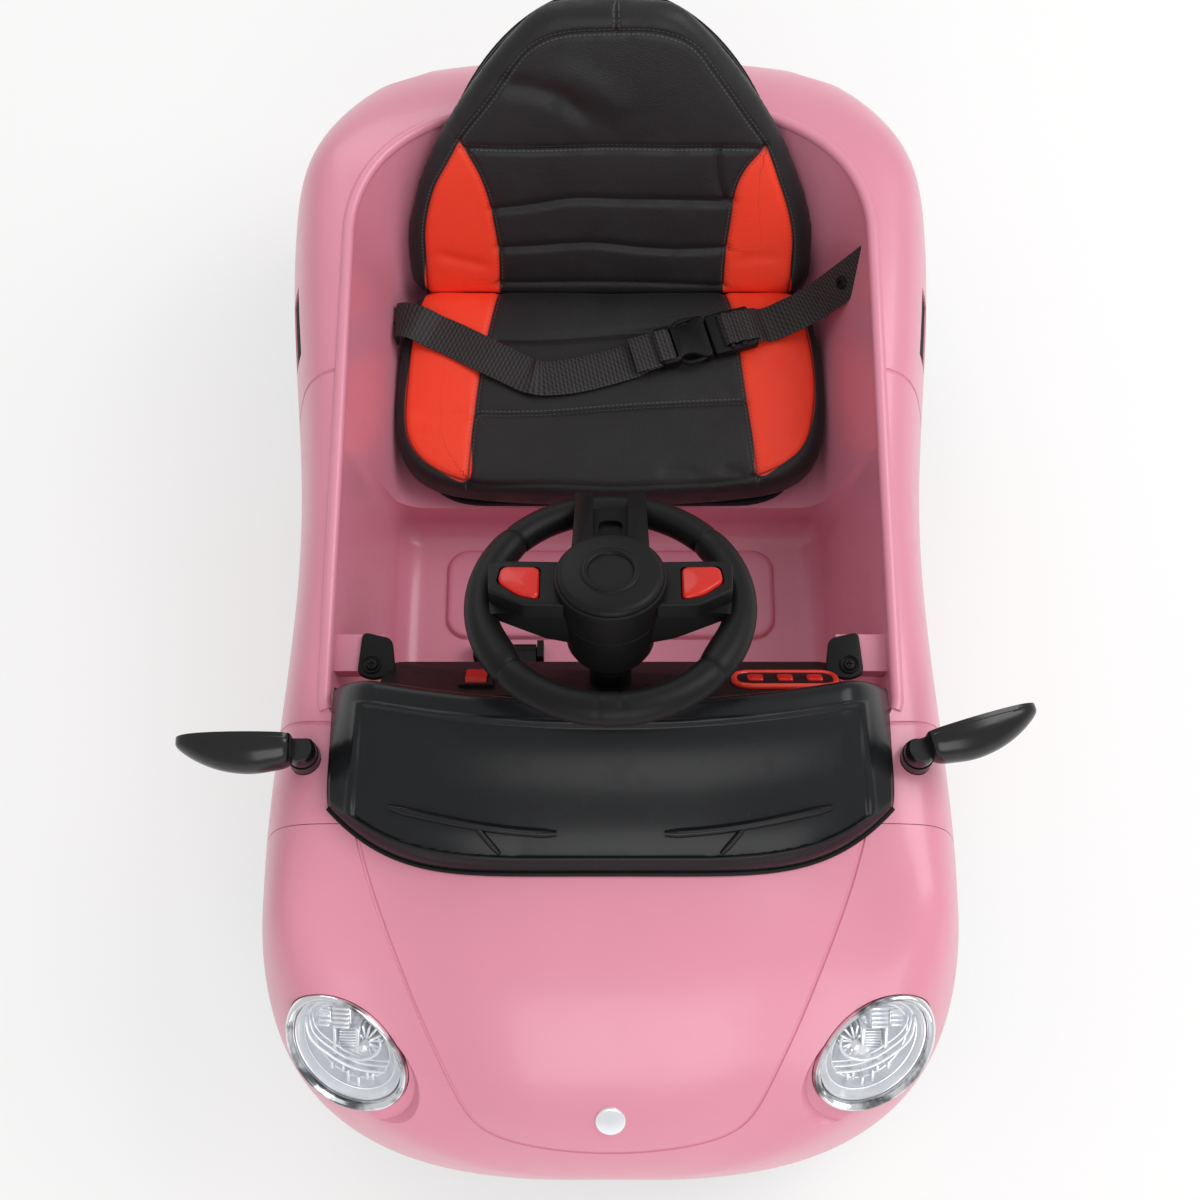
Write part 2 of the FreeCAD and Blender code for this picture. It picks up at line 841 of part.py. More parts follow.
def button_form(name, side, grow, low, high):
    """A key that is wider at its outer end."""
    spots = [
        (BUTTON_NEAR - grow, -BUTTON_HALF + 3 - grow),
        (BUTTON_FAR + grow, -BUTTON_HALF - grow),
        (BUTTON_FAR + grow, BUTTON_HALF + grow),
        (BUTTON_NEAR - grow, BUTTON_HALF - 3 + grow),
    ]
    corners = [(side * x, y) for x, y in spots]
    if side < 0:
        corners.reverse()
    item = plate(name, corners, high - low)
    column_place(item, low)
    return item


steer_solid = fuse("steer_solid", steer_rim, steer_hub, side_bar, *sides(prong))
steer_bore = rod("steer_bore", "shaft_dia/2+0.05", HUB_LOW - 9, (0, 0, -HUB_LOW - 1))
steer_raw = cut("steer_raw", steer_solid, steer_bore)
column_place(steer_raw)
pocket_left = button_form("pocket_left", 1, 0.5, POCKET_LOW, SPOKE_HIGH + 2)
pocket_right = button_form("pocket_right", -1, 0.5, POCKET_LOW, SPOKE_HIGH + 2)
node(cut("steering_wheel", steer_raw, pocket_left, pocket_right))
node(button_form("horn_button", 1, 0, BUTTON_LOW, BUTTON_TOP))
node(button_form("music_button", -1, 0, BUTTON_LOW, BUTTON_TOP))

cover_disc = cone("cover_disc", "hub_dia/2-1", "hub_dia/2-4", 5, (0, 0, HUB_HIGH))
cover_ring = rod("cover_ring", "hub_dia/4", 8, (0, 0, HUB_HIGH))
cover_dish = rod("cover_dish", "hub_dia/4-4", 4, (0, 0, HUB_HIGH + 6))
hub_cap_solid = fuse("hub_cap_solid", cover_disc, cover_ring)
hub_cover = cut("hub_cover", hub_cap_solid, cover_dish)
column_place(hub_cover)
node(hub_cover)

# Wheels: a hollow moulding with a hubcap, drawn about its own axis with the outside upwards.
SHOULDER = 9
HUB_RADIUS = 24
WEB = 10
HEX_RADIUS = 15
HEX_DEEP = 8
GROOVE_HALF = 2.5
WINDOW_OUT = 0.32


def wheel_place(item, side, y):
    put(
        item,
        "%d*(wheel_face-wheel_width/2)" % side,
        y,
        "wheel_dia/2",
        Rotation(Vector(0, 0, 1), Vector(side, 0, 0)),
    )


def ring(name, outside, inside, length, start):
    whole = rod(name + "_whole", outside, length, (0, 0, start))
    middle = rod(name + "_middle", inside, length, (0, 0, start))
    return cut(name, whole, middle)


def hexagon(name, radius, length, start):
    item = document.addObject("Part::Prism", name)
    item.Polygon = 6
    item.Circumradius = radius
    item.setExpression("Height", bound(length))
    put(item, 0, 0, start)
    return item


def wheel(name, side, y, driven):
    edge = "wheel_dia/2-%d" % SHOULDER
    shoulder_at = "wheel_width/2-%d" % SHOULDER
    cap_at = "wheel_width/2-%d" % CAP_DEEP
    nut_at = "wheel_width/2-%d" % NUT_DEEP
    tread_wide = "wheel_width-%d" % (2 * SHOULDER)
    tread = rod(name + "_tread", "wheel_dia/2", tread_wide, (0, 0, "-(%s)" % shoulder_at))
    outer = cone(name + "_outer", "wheel_dia/2", edge, SHOULDER, (0, 0, shoulder_at))
    inner = cone(name + "_inner", edge, "wheel_dia/2", SHOULDER, (0, 0, "-wheel_width/2"))
    tools = [
        rod(name + "_bore", "axle_dia/2+running_gap", "2*wheel_width", (0, 0, "-wheel_width")),
        rod(name + "_cap_space", "hubcap_dia/2+0.4", "wheel_width", (0, 0, cap_at)),
        rod(name + "_nut_space", HUB_RADIUS, "wheel_width", (0, 0, nut_at)),
        ring(
            name + "_hollow",
            "wheel_dia/2-16",
            HUB_RADIUS + 6,
            "wheel_width",
            "-wheel_width/2-%d-%d" % (CAP_DEEP, WEB),
        ),
    ]
    for way in (-1, 1):
        label = name + ("_groove_low" if way < 0 else "_groove_high")
        groove_at = "%d*wheel_width/6-%f" % (way, GROOVE_HALF)
        tools.append(ring(label, "wheel_dia", "wheel_dia/2-3", 2 * GROOVE_HALF, groove_at))
    if driven:
        tools.append(hexagon(name + "_hex", HEX_RADIUS + 0.3, HEX_DEEP + 1, "-wheel_width/2-1"))
    solid = fuse(name + "_solid", tread, outer, inner)
    item = cut(name + "_wheel", solid, *tools)
    wheel_place(item, side, y)
    node(item)
    disc = rod(name + "_disc", "hubcap_dia/2", 4, (0, 0, cap_at))
    dome = cone(name + "_dome", 20, 15, 10, (0, 0, cap_at))
    cap_solid = fuse(name + "_cap_solid", disc, dome)
    windows = []
    for step in range(5):
        turn = math.radians(90 + 72 * step)
        x = "hubcap_dia*%f" % (WINDOW_OUT * math.cos(turn))
        y_at = "hubcap_dia*%f" % (WINDOW_OUT * math.sin(turn))
        windows.append(rod("%s_window_%d" % (name, step), 9, 20, (x, y_at, cap_at + "-5")))
    cap = cut(name + "_hubcap", cap_solid, *windows)
    wheel_place(cap, side, y)
    node(cap)


for name, side in (("left", 1), ("right", -1)):
    wheel("front_" + name, side, "-front_axle_ahead", False)
    wheel("rear_" + name, side, "rear_axle_behind", True)

rear_half = "(wheel_face-%d+9)" % NUT_DEEP
axle_start = ("-" + rear_half, "rear_axle_behind", "wheel_dia/2")
axle_bar = rod("axle_bar", "axle_dia/2", "2*" + rear_half, axle_start, "x")


def rear_nut(name, side):
    at = "wheel_face-%d+0.4" % NUT_DEEP if side > 0 else "-(wheel_face-%d+0.4)-7" % NUT_DEEP
    return rod("rear_nut_" + name, NUT_RADIUS, 7, (at, "rear_axle_behind", "wheel_dia/2"), "x")


node(fuse("rear_axle", axle_bar, *sides(rear_nut)))

# Drive on each rear wheel: motor, pinion and gear in a housing.
PRESSURE = math.radians(25)
BACKLASH = 0.35
PINION_ANGLE = math.radians(150)
HOUSING_NEAR = 150
HOUSING_FAR = 202
HOUSING_WALL = 3
GEAR_NEAR = 162
PINION_SHAFT = 2.5


def tooth_outline(teeth, module, first):
    """Involute teeth; the first tooth points along the given angle."""
    pitch = teeth * module / 2
    base = pitch * math.cos(PRESSURE)
    root = pitch - 1.25 * module
    tip = pitch + module
    half_pitch = math.pi / (2 * teeth) - BACKLASH / (2 * pitch)

    def involute(radius):
        angle = math.acos(min(1.0, base / radius))
        return math.tan(angle) - angle

    low = max(base, root)
    radii = [mix(low, tip, share) for share in (0, 0.33, 0.66, 1)]
    flank = [(r, half_pitch + involute(pitch) - involute(r)) for r in radii]
    flank.insert(0, (root - 0.02, flank[0][1]))
    spots = []
    for step in range(int(teeth)):
        middle = first + 2 * math.pi * step / teeth
        spots += [(r, middle - a) for r, a in flank] + [(r, middle + a) for r, a in reversed(flank)]
    points = [Vector(r * math.cos(a), r * math.sin(a), 0) for r, a in spots]
    return Part.Face(Part.makePolygon(points + points[:1]))


def across(x, y, z):
    """Placement that stands a form drawn in X-Y upright across the car, its Z along +X."""
    turn = Rotation(Vector(0, 1, 0), Vector(0, 0, 1), Vector(1, 0, 0), "ZXY")
    return Placement(Vector(x, y, z), turn)


def drive(name, side):
    distance = (M.gear_teeth + M.pinion_teeth) * M.gear_module / 2
    axle_y = M.rear_axle_behind
    axle_z = M.wheel_dia / 2
    pinion_y = axle_y + distance * math.cos(PINION_ANGLE)
    pinion_z = axle_z + distance * math.sin(PINION_ANGLE)
    near = GEAR_NEAR if side > 0 else -GEAR_NEAR - M.gear_width

    def span(low, high):
        """Start and length of a stretch between two distances from the middle."""
        return (low if side > 0 else -high, high - low)

    gear_face = tooth_outline(M.gear_teeth, M.gear_module, PINION_ANGLE + math.pi / M.gear_teeth)
    broad = Vector(0, 0, M.gear_width)
    toothed = form("toothed_" + name, gear_face.extrude(broad), across(near, axle_y, axle_z))
    wheel_in = M.wheel_face - M.wheel_width
    start, length = span(GEAR_NEAR + M.gear_width - 1, wheel_in - 0.4)
    axle = ("rear_axle_behind", "wheel_dia/2")
    hub = rod("gear_hub_" + name, HEX_RADIUS + 1, length, (start, *axle), "x")
    key = hexagon("gear_key_" + name, HEX_RADIUS, HEX_DEEP - 0.6, 0)
    key_at = wheel_in - 0.5 if side > 0 else -wheel_in + 0.5 - (HEX_DEEP - 0.6)
    put(key, key_at, "rear_axle_behind", "wheel_dia/2", Rotation(Vector(0, 0, 1), Vector(1, 0, 0)))
    bore = rod("gear_bore_" + name, "axle_dia/2+running_gap", 700, (-350, *axle), "x")
    gear_solid = fuse("gear_solid_" + name, toothed, hub, key)
    node(cut("drive_gear_" + name, gear_solid, bore))

    pinion_face = tooth_outline(M.pinion_teeth, M.gear_module, PINION_ANGLE + math.pi)
    small = form("small_" + name, pinion_face.extrude(broad), across(near, pinion_y, pinion_z))
    middle = (pinion_y, pinion_z)
    start, length = span(HOUSING_NEAR - 12, GEAR_NEAR + 2)
    spindle = rod("spindle_" + name, PINION_SHAFT, length, (start, *middle), "x")
    node(fuse("pinion_" + name, small, spindle))

    start, length = span(HOUSING_NEAR - M.motor_length, HOUSING_NEAR)
    can = rod("can_" + name, "motor_dia/2", length, (start, *middle), "x")
    start, length = span(HOUSING_NEAR - 13, HOUSING_NEAR + 1)
    can_bore = rod("can_bore_" + name, "%f+running_gap" % PINION_SHAFT, length, (start, *middle), "x")
    node(cut("motor_" + name, can, can_bore))

    tip = M.gear_module * (M.gear_teeth / 2 + 1)
    rear = axle_y + tip + 4
    front = pinion_y - M.gear_module * (M.pinion_teeth / 2 + 1) - 5
    low = axle_z - tip - 3
    high = axle_z + tip + 5
    sizes = (HOUSING_FAR - HOUSING_NEAR, rear - front + 2 * HOUSING_WALL, high - low + 2 * HOUSING_WALL)
    centre = (side * (HOUSING_FAR + HOUSING_NEAR) / 2, (rear + front) / 2, (high + low) / 2)
    case = block("case_" + name, sizes, centre)
    room = block("room_" + name, [size - 2 * HOUSING_WALL for size in sizes], centre)
    hub_hole = rod(
        "hub_hole_" + name,
        HEX_RADIUS + 2,
        20,
        (side * HOUSING_FAR - 10, "rear_axle_behind", "wheel_dia/2"),
        "x",
    )
    axle_hole = rod("axle_hole_" + name, "axle_dia/2+0.1", 700, (-350, *axle), "x")
    spindle_hole = rod("spindle_hole_" + name, 6, 20, (side * HOUSING_NEAR - 10, *middle), "x")
    node(cut("gearbox_" + name, case, room, hub_hole, axle_hole, spindle_hole))


sides(drive)

# Battery and control box on the tray.
battery_case = block("battery_case", (150, 92, 90), (0, 150, TRAY_TOP + "+45"))
battery_lid = block("battery_lid", (146, 88, 5), (0, 150, TRAY_TOP + "+92"))
node(fuse("battery", battery_case, battery_lid))
box_case = block("box_case", (110, 70, 26), (0, -20, TRAY_TOP + "+13"))
box_feet = block("box_feet", (134, 24, 4), (0, -20, TRAY_TOP + "+2"))
node(fuse("control_box", box_case, box_feet))

# Foot pedal on the floor, under the driver's right foot.
PEDAL_X = -96
PEDAL_HINGE_Y = -48
PEDAL_HINGE_UP = 11
PEDAL_LONG = 78
PEDAL_HALF = 26
PEDAL_TILT = 13
SPRING_Y = -112
HINGE_RADIUS = 3
base_plate = block("base_plate", (66, 92, 4), (PEDAL_X, -88, "floor_height+2"))


def lug(name, side):
    x = PEDAL_X + side * (PEDAL_HALF + 4)
    return block("lug_" + name, (6, 16, 18), (x, PEDAL_HINGE_Y, "floor_height+9"))


hinge_spot = (PEDAL_X - 40, PEDAL_HINGE_Y, "floor_height+%d" % PEDAL_HINGE_UP)
hinge_hole = rod("hinge_hole", "%d+running_gap" % HINGE_RADIUS, 80, hinge_spot, "x")
spring_stud = rod("spring_stud", 4, 5, (PEDAL_X, SPRING_Y, "floor_height+3"))
bracket_solid = fuse("bracket_solid", base_plate, *sides(lug), spring_stud)
node(cut("pedal_bracket", bracket_solid, hinge_hole))
pedal_pin = rod("pedal_pin", HINGE_RADIUS, 2 * PEDAL_HALF + 14, (-PEDAL_HALF - 7, 0, 0), "x")
pedal_eye = rod("pedal_eye", HINGE_RADIUS + 3, 2 * PEDAL_HALF, (-PEDAL_HALF, 0, 0), "x")
pedal_pad = block("pedal_pad", (2 * PEDAL_HALF, PEDAL_LONG, 5), (0, -PEDAL_LONG / 2, 2.5))
ribs = [
    block("pedal_rib_%d" % step, (2 * PEDAL_HALF - 10, 4, 3), (0, -22 - 12 * step, 6))
    for step in range(5)
]
pedal = fuse("pedal", pedal_pin, pedal_eye, pedal_pad, *ribs)
put(
    pedal,
    PEDAL_X,
    PEDAL_HINGE_Y,
    "floor_height+%d" % PEDAL_HINGE_UP,
    Rotation(Vector(1, 0, 0), -PEDAL_TILT),
)
node(pedal)

SPRING_RADIUS = 7
SPRING_WIRE = 0.8
SPRING_TURNS = 5


def coil(radius, wire, pitch, turns):
    """Half-turn arcs whose ends are level, so the wire runs on without a kink."""
    arcs = []
    for half in range(2 * turns):
        spots = []
        for quarter in range(3):
            turn = math.pi * (half + quarter / 2)
            up = pitch * turn / (2 * math.pi)
            spots.append(Vector(radius * math.cos(turn), radius * math.sin(turn), up))
        arcs.append(Part.Arc(*spots).toShape())
    path = Part.Wire(arcs)
    profile = Part.Wire([Part.Circle(Vector(radius, 0, 0), Vector(0, 1, 0), wire).toShape()])
    return path.makePipeShell([profile], True, False)


spring_out = PEDAL_HINGE_Y - SPRING_Y
under_pad = PEDAL_HINGE_UP + spring_out * math.tan(math.radians(PEDAL_TILT)) - 4
spring_room = under_pad - 2 * SPRING_WIRE - 2.6
node(
    form(
        "pedal_spring",
        coil(SPRING_RADIUS, SPRING_WIRE, spring_room / SPRING_TURNS, SPRING_TURNS),
        Placement(Vector(PEDAL_X, SPRING_Y, M.floor_height + 4 + SPRING_WIRE + 0.2), Rotation()),
    )
)

# Seat: a pan with a rounded back plate, and two sewn cushions with channels.
PAN_THICK = 5
PLATE_THICK = 6
back_turn = Rotation(Vector(1, 0, 0), 90 - M.back_tilt)
BACK_BASE = 50


def back_place(item):
    put(item, 0, "back_foot", "seat_height+%d" % BACK_BASE, back_turn)


def arch_face(half, height, low, z):
    """Half an ellipse standing on a short straight foot."""
    ellipse = Part.Ellipse(Vector(0, height, z), Vector(half, 0, z), Vector(0, 0, z))
    upper = Part.ArcOfEllipse(ellipse, -math.pi / 2, math.pi / 2).toShape()
    ends = sorted((v.Point for v in upper.Vertexes), key=lambda p: p.x)
    feet = [Vector(ends[1].x, low, z), Vector(ends[0].x, low, z)]
    edges = [
        upper,
        Part.makeLine(ends[1], feet[0]),
        Part.makeLine(feet[0], feet[1]),
        Part.makeLine(feet[1], ends[0]),
    ]
    return Part.Face(Part.Wire(Part.__sortEdges__(edges)))


plate_depth = M.back_thick + PLATE_THICK
back_lean = math.radians(M.back_tilt)
foot_drop = (BACK_BASE - plate_depth * math.sin(back_lean)) / math.cos(back_lean)
plate_face = arch_face(M.back_half - 14, M.back_height - 10, -foot_drop, -plate_depth)
back_plate = form("back_plate", plate_face.extrude(Vector(0, 0, PLATE_THICK)))
back_place(back_plate)
pan = block(
    "pan",
    ("seat_width-34", "back_foot-seat_well_front+7", PAN_THICK),
    (0, "(back_foot+seat_well_front)/2+5.5", "seat_height+%f" % (PAN_THICK / 2)),
)
node(fuse("seat_shell", pan, back_plate))


def pillow(t, half, seam, low, side_top, seam_top, crown_top):
    """A cushion's section: flat foot, round sides, two bolsters and a crowned middle."""

    def spot(x, z):
        return Vector(x, t, z)

    foot = half - 7
    shoulder = half - 5
    bolster = ((shoulder + seam) / 2, max(side_top, seam_top) + 0.25 * (crown_top - seam_top) + 2.5)
    belly_at = (half, mix(low, side_top, 0.5))
    edges = [Part.makeLine(spot(-foot, low), spot(foot, low))]
    edges.append(Part.Arc(spot(0 - seam, seam_top), spot(0, crown_top), spot(seam, seam_top)).toShape())
    for way in (1, -1):
        side_arc = (way * foot, low), (way * belly_at[0], belly_at[1]), (way * shoulder, side_top)
        roll = (way * shoulder, side_top), (way * bolster[0], bolster[1]), (way * seam, seam_top)
        edges += [Part.Arc(*[spot(*at) for at in arc]).toShape() for arc in (side_arc, roll)]
    return Part.Wire(Part.__sortEdges__(edges))


SEAM_SINK = 6
seat_low = M.seat_height + PAN_THICK
seat_half = M.seat_width / 2
# Along the seat: share of the length, share of the width, share of the height, sink of a seam.
SEAT_STEPS = (
    (0.0, 0.66, 0.62, 0),
    (0.05, 0.83, 0.86, 0),
    (0.13, 0.95, 0.97, 0),
    (0.25, 0.99, 1.0, 0),
    (0.38, 1.0, 1.0, SEAM_SINK),
    (0.55, 1.0, 1.0, 0),
    (0.74, 0.985, 0.99, SEAM_SINK),
    (0.88, 0.965, 0.99, 0),
    (1.0, 0.935, 0.95, 0),
)
seat_wires = []
for along, wide, tall, sink in SEAT_STEPS:
    top = seat_low + M.seat_thick * tall
    seat_wires.append(
        pillow(
            M.seat_well_front + along * (M.seat_length - 4),
            seat_half * wide,
            seat_half * wide * 0.64,
            seat_low,
            top - 12,
            top - 6,
            top - sink * 0.7,
        )
    )
node(form("seat_cushion", Part.makeLoft(seat_wires, True, False)))

# Up the back: share of the height, share of the thickness, sink of a seam.
BACK_STEPS = (
    (0.0, 0.80, 0),
    (0.08, 1.0, 0),
    (0.155, 1.0, SEAM_SINK),
    (0.235, 1.0, 0),
    (0.32, 1.0, SEAM_SINK),
    (0.41, 1.0, 0),
    (0.51, 1.0, SEAM_SINK),
    (0.66, 1.0, 0),
    (0.80, 0.97, 0),
    (0.90, 0.88, 0),
    (0.96, 0.74, 0),
    (0.99, 0.52, 0),
)
back_wires = []
for up, thick, sink in BACK_STEPS:
    half = M.back_half * math.sqrt(1 - (up * 0.995) ** 2)
    top = -M.back_thick + (M.back_thick + 6) * thick
    back_wires.append(
        pillow(
            up * M.back_height,
            half,
            half * mix(0.62, 0.7, up),
            -M.back_thick + 0.1,
            top - 11 * thick,
            top - 6 * thick,
            top - sink * 0.7,
        )
    )
back_cushion = form("back_cushion", Part.makeLoft(back_wires, True, False))
back_place(back_cushion)
node(back_cushion)

# Lap belt: two webbing straps and a side-release buckle lying on the seat.
BUCKLE_AT = Vector(80, 218, 0)
BUCKLE_TURN = 22
BUCKLE_LOW = 5
SOCKET_LONG = 50
PLUG_LONG = 44
lie = M.seat_height + PAN_THICK + M.seat_thick + BUCKLE_LOW


def ribbon(stops):
    """Webbing through stops: centre, direction across the webbing, direction of its thickness."""
    wires = []
    for centre, broad, thin in stops:
        across_it = Vector(*broad).normalize() * (M.belt_width / 2)
        through = Vector(*thin).normalize() * (M.belt_thick / 2)
        signs = ((-1, -1), (1, -1), (1, 1), (-1, 1))
        corners = [Vector(*centre) + across_it * a + through * b for a, b in signs]
        wires.append(Part.makePolygon(corners + corners[:1]))
    return Part.makeLoft(wires, True, True)


turn = math.radians(BUCKLE_TURN)
heading = Vector(math.cos(turn), math.sin(turn), 0)
aside = (-math.sin(turn), math.cos(turn), 0)
UP = (0, 0, 1)
socket_end = BUCKLE_AT - heading * (SOCKET_LONG + 0.4)
plug_end = BUCKLE_AT + heading * (PLUG_LONG + 1.4)
right_stops = [
    ((BELT_RIGHT[0] - 4.3, BELT_RIGHT[1], BELT_RIGHT[2] - 9), (0, 1, 0), (-1, 0, 0)),
    ((BELT_RIGHT[0] - 4.3, BELT_RIGHT[1], lie - 5), (0, 1, 0), (-1, 0, 0.05)),
    ((BELT_RIGHT[0] + 1, BELT_RIGHT[1] - 3, lie), (0.1, 1, 0), (-0.7, 0, 0.7)),
    ((-172, 234, lie + 1.5), (0.45, 1, 0), UP),
    ((-84, 188, lie), (0.1, 1, 0), UP),
    ((-20, 183, lie), (-0.2, 1, 0), UP),
    ((socket_end.x, socket_end.y, lie), aside, UP),
]
left_stops = [
    ((plug_end.x, plug_end.y, lie), aside, UP),
    ((158, 250, lie + 2), (-0.35, 1, 0), UP),
    ((192, 264, lie + 12), (-0.35, 1, 0), (-0.5, 0, 0.8)),
    ((209, 271, lie + 32), (-0.2, 1, 0), (-1, 0, 0.4)),
    ((BELT_LEFT[0] + 1.6, 275, BELT_LEFT[2] - 18), (0, 1, 0), (-1, 0, 0)),
    ((BELT_LEFT[0] + 1.6, BELT_LEFT[1], BELT_LEFT[2] + 14), (0, 1, 0), (-1, 0, 0)),
]
anchor_right = belt_hole("anchor_right", BELT_RIGHT, -10, 16)
anchor_left = belt_hole("anchor_left", BELT_LEFT, -6, 16)
node(cut("belt_right", form("belt_right_strap", ribbon(right_stops)), anchor_right))
node(cut("belt_left", form("belt_left_strap", ribbon(left_stops)), anchor_left))


def buckle_place(item):
    put(item, BUCKLE_AT.x, BUCKLE_AT.y, lie - BUCKLE_LOW, Rotation(Vector(0, 0, 1), BUCKLE_TURN))


socket_body = block("socket_body", (SOCKET_LONG, "belt_width+10", 12), (-SOCKET_LONG / 2, 0, 7))
socket_room = block("socket_room", (32, "belt_width+2", 6), (-15, 0, 7))
buckle_socket = cut("buckle_socket", socket_body, socket_room)
buckle_place(buckle_socket)
node(buckle_socket)
plug_body = block("plug_body", (PLUG_LONG, "belt_width+8", 10), (PLUG_LONG / 2 + 1, 0, 7))


def plug_arm(name, side):
    return block("plug_arm_" + name, (26, 6, 5), (-10, "%d*(belt_width/2-3)" % side, 7))


plug_tongue = block("plug_tongue", (22, 10, 5), (-8, 0, 7))
buckle_plug = fuse("buckle_plug", plug_body, plug_tongue, *sides(plug_arm))
buckle_place(buckle_plug)
node(buckle_plug)

# Windscreen cover: one moulding over the cowl, curved across the car and sitting on the body.
COVER_STEPS = (-1, -0.97, -0.92, -0.82, -0.55, 0, 0.55, 0.82, 0.92, 0.97, 1)
COVER_WRAP = 67
COVER_BOW = 27
COVER_SIDE_DROP = 50
LIP = 18


def cover_section(share):
    away = abs(share)
    x = share * M.cover_half
    front = -M.cover_front + COVER_WRAP * away**4
    rear = -M.cover_rear + COVER_BOW * away**2
    top = M.cover_top - 9 * away**2 - COVER_SIDE_DROP * max(0.0, (away - 0.8) / 0.2) ** 2
    low = M.hood_height - 30
    base = M.hood_height + 4
    wall = M.cover_wall
    middle = ((front + rear) / 2 - 4, mix(base, top, 0.56) + 4)
    outside = [(front, low), (front + 2, base), middle]
    outside += [(rear - 7, top), (rear, top - 3), (rear + 3, top - LIP)]
    inside = [
        (rear + 3 - wall, top - LIP),
        (rear - wall - 1, top - 3 - wall),
        (middle[0] + 1.4, middle[1] - wall - 0.6),
        (front + 2 + wall, base - 2),
        (front + wall, low),
    ]
    points = [Vector(x, y, z) for y, z in outside + inside]
    return Part.makePolygon(points + points[:1])


cover_wires = [cover_section(share) for share in COVER_STEPS]
cover_shell = form("cover_shell", Part.makeLoft(cover_wires, True, False))
node(cut("windscreen_cover", cover_shell, clear_form))

# Dash panel below the cover's lip, screwed to the two bosses.
dash_drop = M.dash_top - M.dash_foot
dash_back = M.dash_top_ahead - M.dash_foot_ahead
dash_long = math.hypot(dash_drop, dash_back)
dash_turn = Rotation(Vector(1, 0, 0), -math.degrees(math.atan2(dash_drop, dash_back)))
SWITCH_X = -108
SWITCH_DOWN = 36
SWITCH_WIDE = 18
SWITCH_LONG = 25
PANEL_X = 141
PANEL_DOWN = 36
PANEL_WIDE = 76
PANEL_LONG = 30
FRAME_EDGE = 5


def dash_place(item):
    put(item, 0, "-dash_top_ahead", "dash_top", dash_turn)


def opening(x, down, wide, long):
    return [
        (x - wide / 2, down - long / 2),
        (x + wide / 2, down - long / 2),
        (x + wide / 2, down + long / 2),
        (x - wide / 2, down + long / 2),
    ]


dash_corners = [
    ("-dash_half", 0),
    ("dash_half", 0),
    ("dash_half-8", dash_long),
    ("-dash_half+8", dash_long),
]
dash_holes = [
    opening(SWITCH_X, SWITCH_DOWN, SWITCH_WIDE, SWITCH_LONG),
    opening(PANEL_X, PANEL_DOWN, PANEL_WIDE - 12, PANEL_LONG - 10),
]
dash_board = plate("dash_board", dash_corners, "dash_wall", (), dash_holes)
dash_place(dash_board)


def ear(name, side):
    return block(
        "ear_" + name,
        (54, 36, 4),
        ("%d*(rim_half-39)" % side, EAR_Y - 2, EAR_Z + 2),
    )


dash_solid = fuse("dash_solid", dash_board, *sides(ear))
dash_way = column_rod("dash_way", BUSH_RADIUS + 0.3, -160, 120)
node(cut("dash_panel", dash_solid, dash_way, *sides(boss_hole)))


def on_dash(name, x, down, wide, long, low, high):
    """A box on the dash's face, in the dash's own plane."""
    return block(name, (wide, long, high - low), (x, down, "dash_wall+%f" % ((high + low) / 2)))


def dash_node(item):
    dash_place(item)
    return node(item)


frame_wide = PANEL_WIDE + 2 * FRAME_EDGE
frame_long = PANEL_LONG + 2 * FRAME_EDGE
frame_whole = on_dash("frame_whole", PANEL_X, PANEL_DOWN, frame_wide, frame_long, 0.1, 4)
frame_gap = on_dash("frame_gap", PANEL_X, PANEL_DOWN, PANEL_WIDE + 0.6, PANEL_LONG + 0.6, -1, 6)
dash_node(cut("control_panel_frame", frame_whole, frame_gap))
face_whole = on_dash("face_whole", PANEL_X, PANEL_DOWN, PANEL_WIDE, PANEL_LONG, 0.1, 2.5)
KEYS = (("left", 24), ("middle", 0), ("right", -24))
KEY_SIZE = 13


def key_form(name, x, size, low, high):
    return on_dash(name, PANEL_X + x, PANEL_DOWN, size, size, low, high)


key_gaps = [key_form("key_gap_" + name, x, KEY_SIZE + 0.8, -1, 6) for name, x in KEYS]
dash_node(cut("control_panel_face", face_whole, *key_gaps))
for name, x in KEYS:
    button = key_form("panel_key_" + name, x, KEY_SIZE, -1.5, 4.2)
    key_cap = key_form("key_cap_" + name, x, KEY_SIZE - 2, 4.0, 4.8)
    dash_node(fuse("panel_button_" + name, button, key_cap))

switch_whole = on_dash("switch_whole", SWITCH_X, SWITCH_DOWN, SWITCH_WIDE + 9, SWITCH_LONG + 10, 0.1, 3)
switch_gap = on_dash("switch_gap", SWITCH_X, SWITCH_DOWN, SWITCH_WIDE, SWITCH_LONG, -1, 6)
dash_node(cut("switch_frame", switch_whole, switch_gap))
ROCKER_RADIUS = 12
rocker_round = rod(
    "rocker_round",
    ROCKER_RADIUS,
    SWITCH_WIDE - 1,
    (SWITCH_X - SWITCH_WIDE / 2 + 0.5, SWITCH_DOWN, "dash_wall+1"),
    "x",
)
rocker_flat = on_dash("rocker_flat", SWITCH_X, SWITCH_DOWN, 30, 40, 7, 30)
dash_node(cut("power_rocker", rocker_round, rocker_flat))

# Lamps.
RING_WIDE = 7


def bezel(name, side):
    whole = lamp_rod("bezel_whole_" + name, side, "lamp_dia/2", -12, 17)
    gap = lamp_rod("bezel_gap_" + name, side, "lamp_dia/2-%d" % RING_WIDE, -20, 40)
    return cut("bezel_" + name, whole, gap)


def lens(name, side):
    disc = lamp_rod("lens_disc_" + name, side, "lamp_dia/2-%f" % (RING_WIDE + 0.3), -3, 3.5)
    edge = "lamp_dia/2-%f" % (RING_WIDE + 2)
    dome = lamp_cone("lens_dome_" + name, side, edge, "lamp_dia/2-26", 0.4, 6)
    return fuse("lens_" + name, disc, dome)


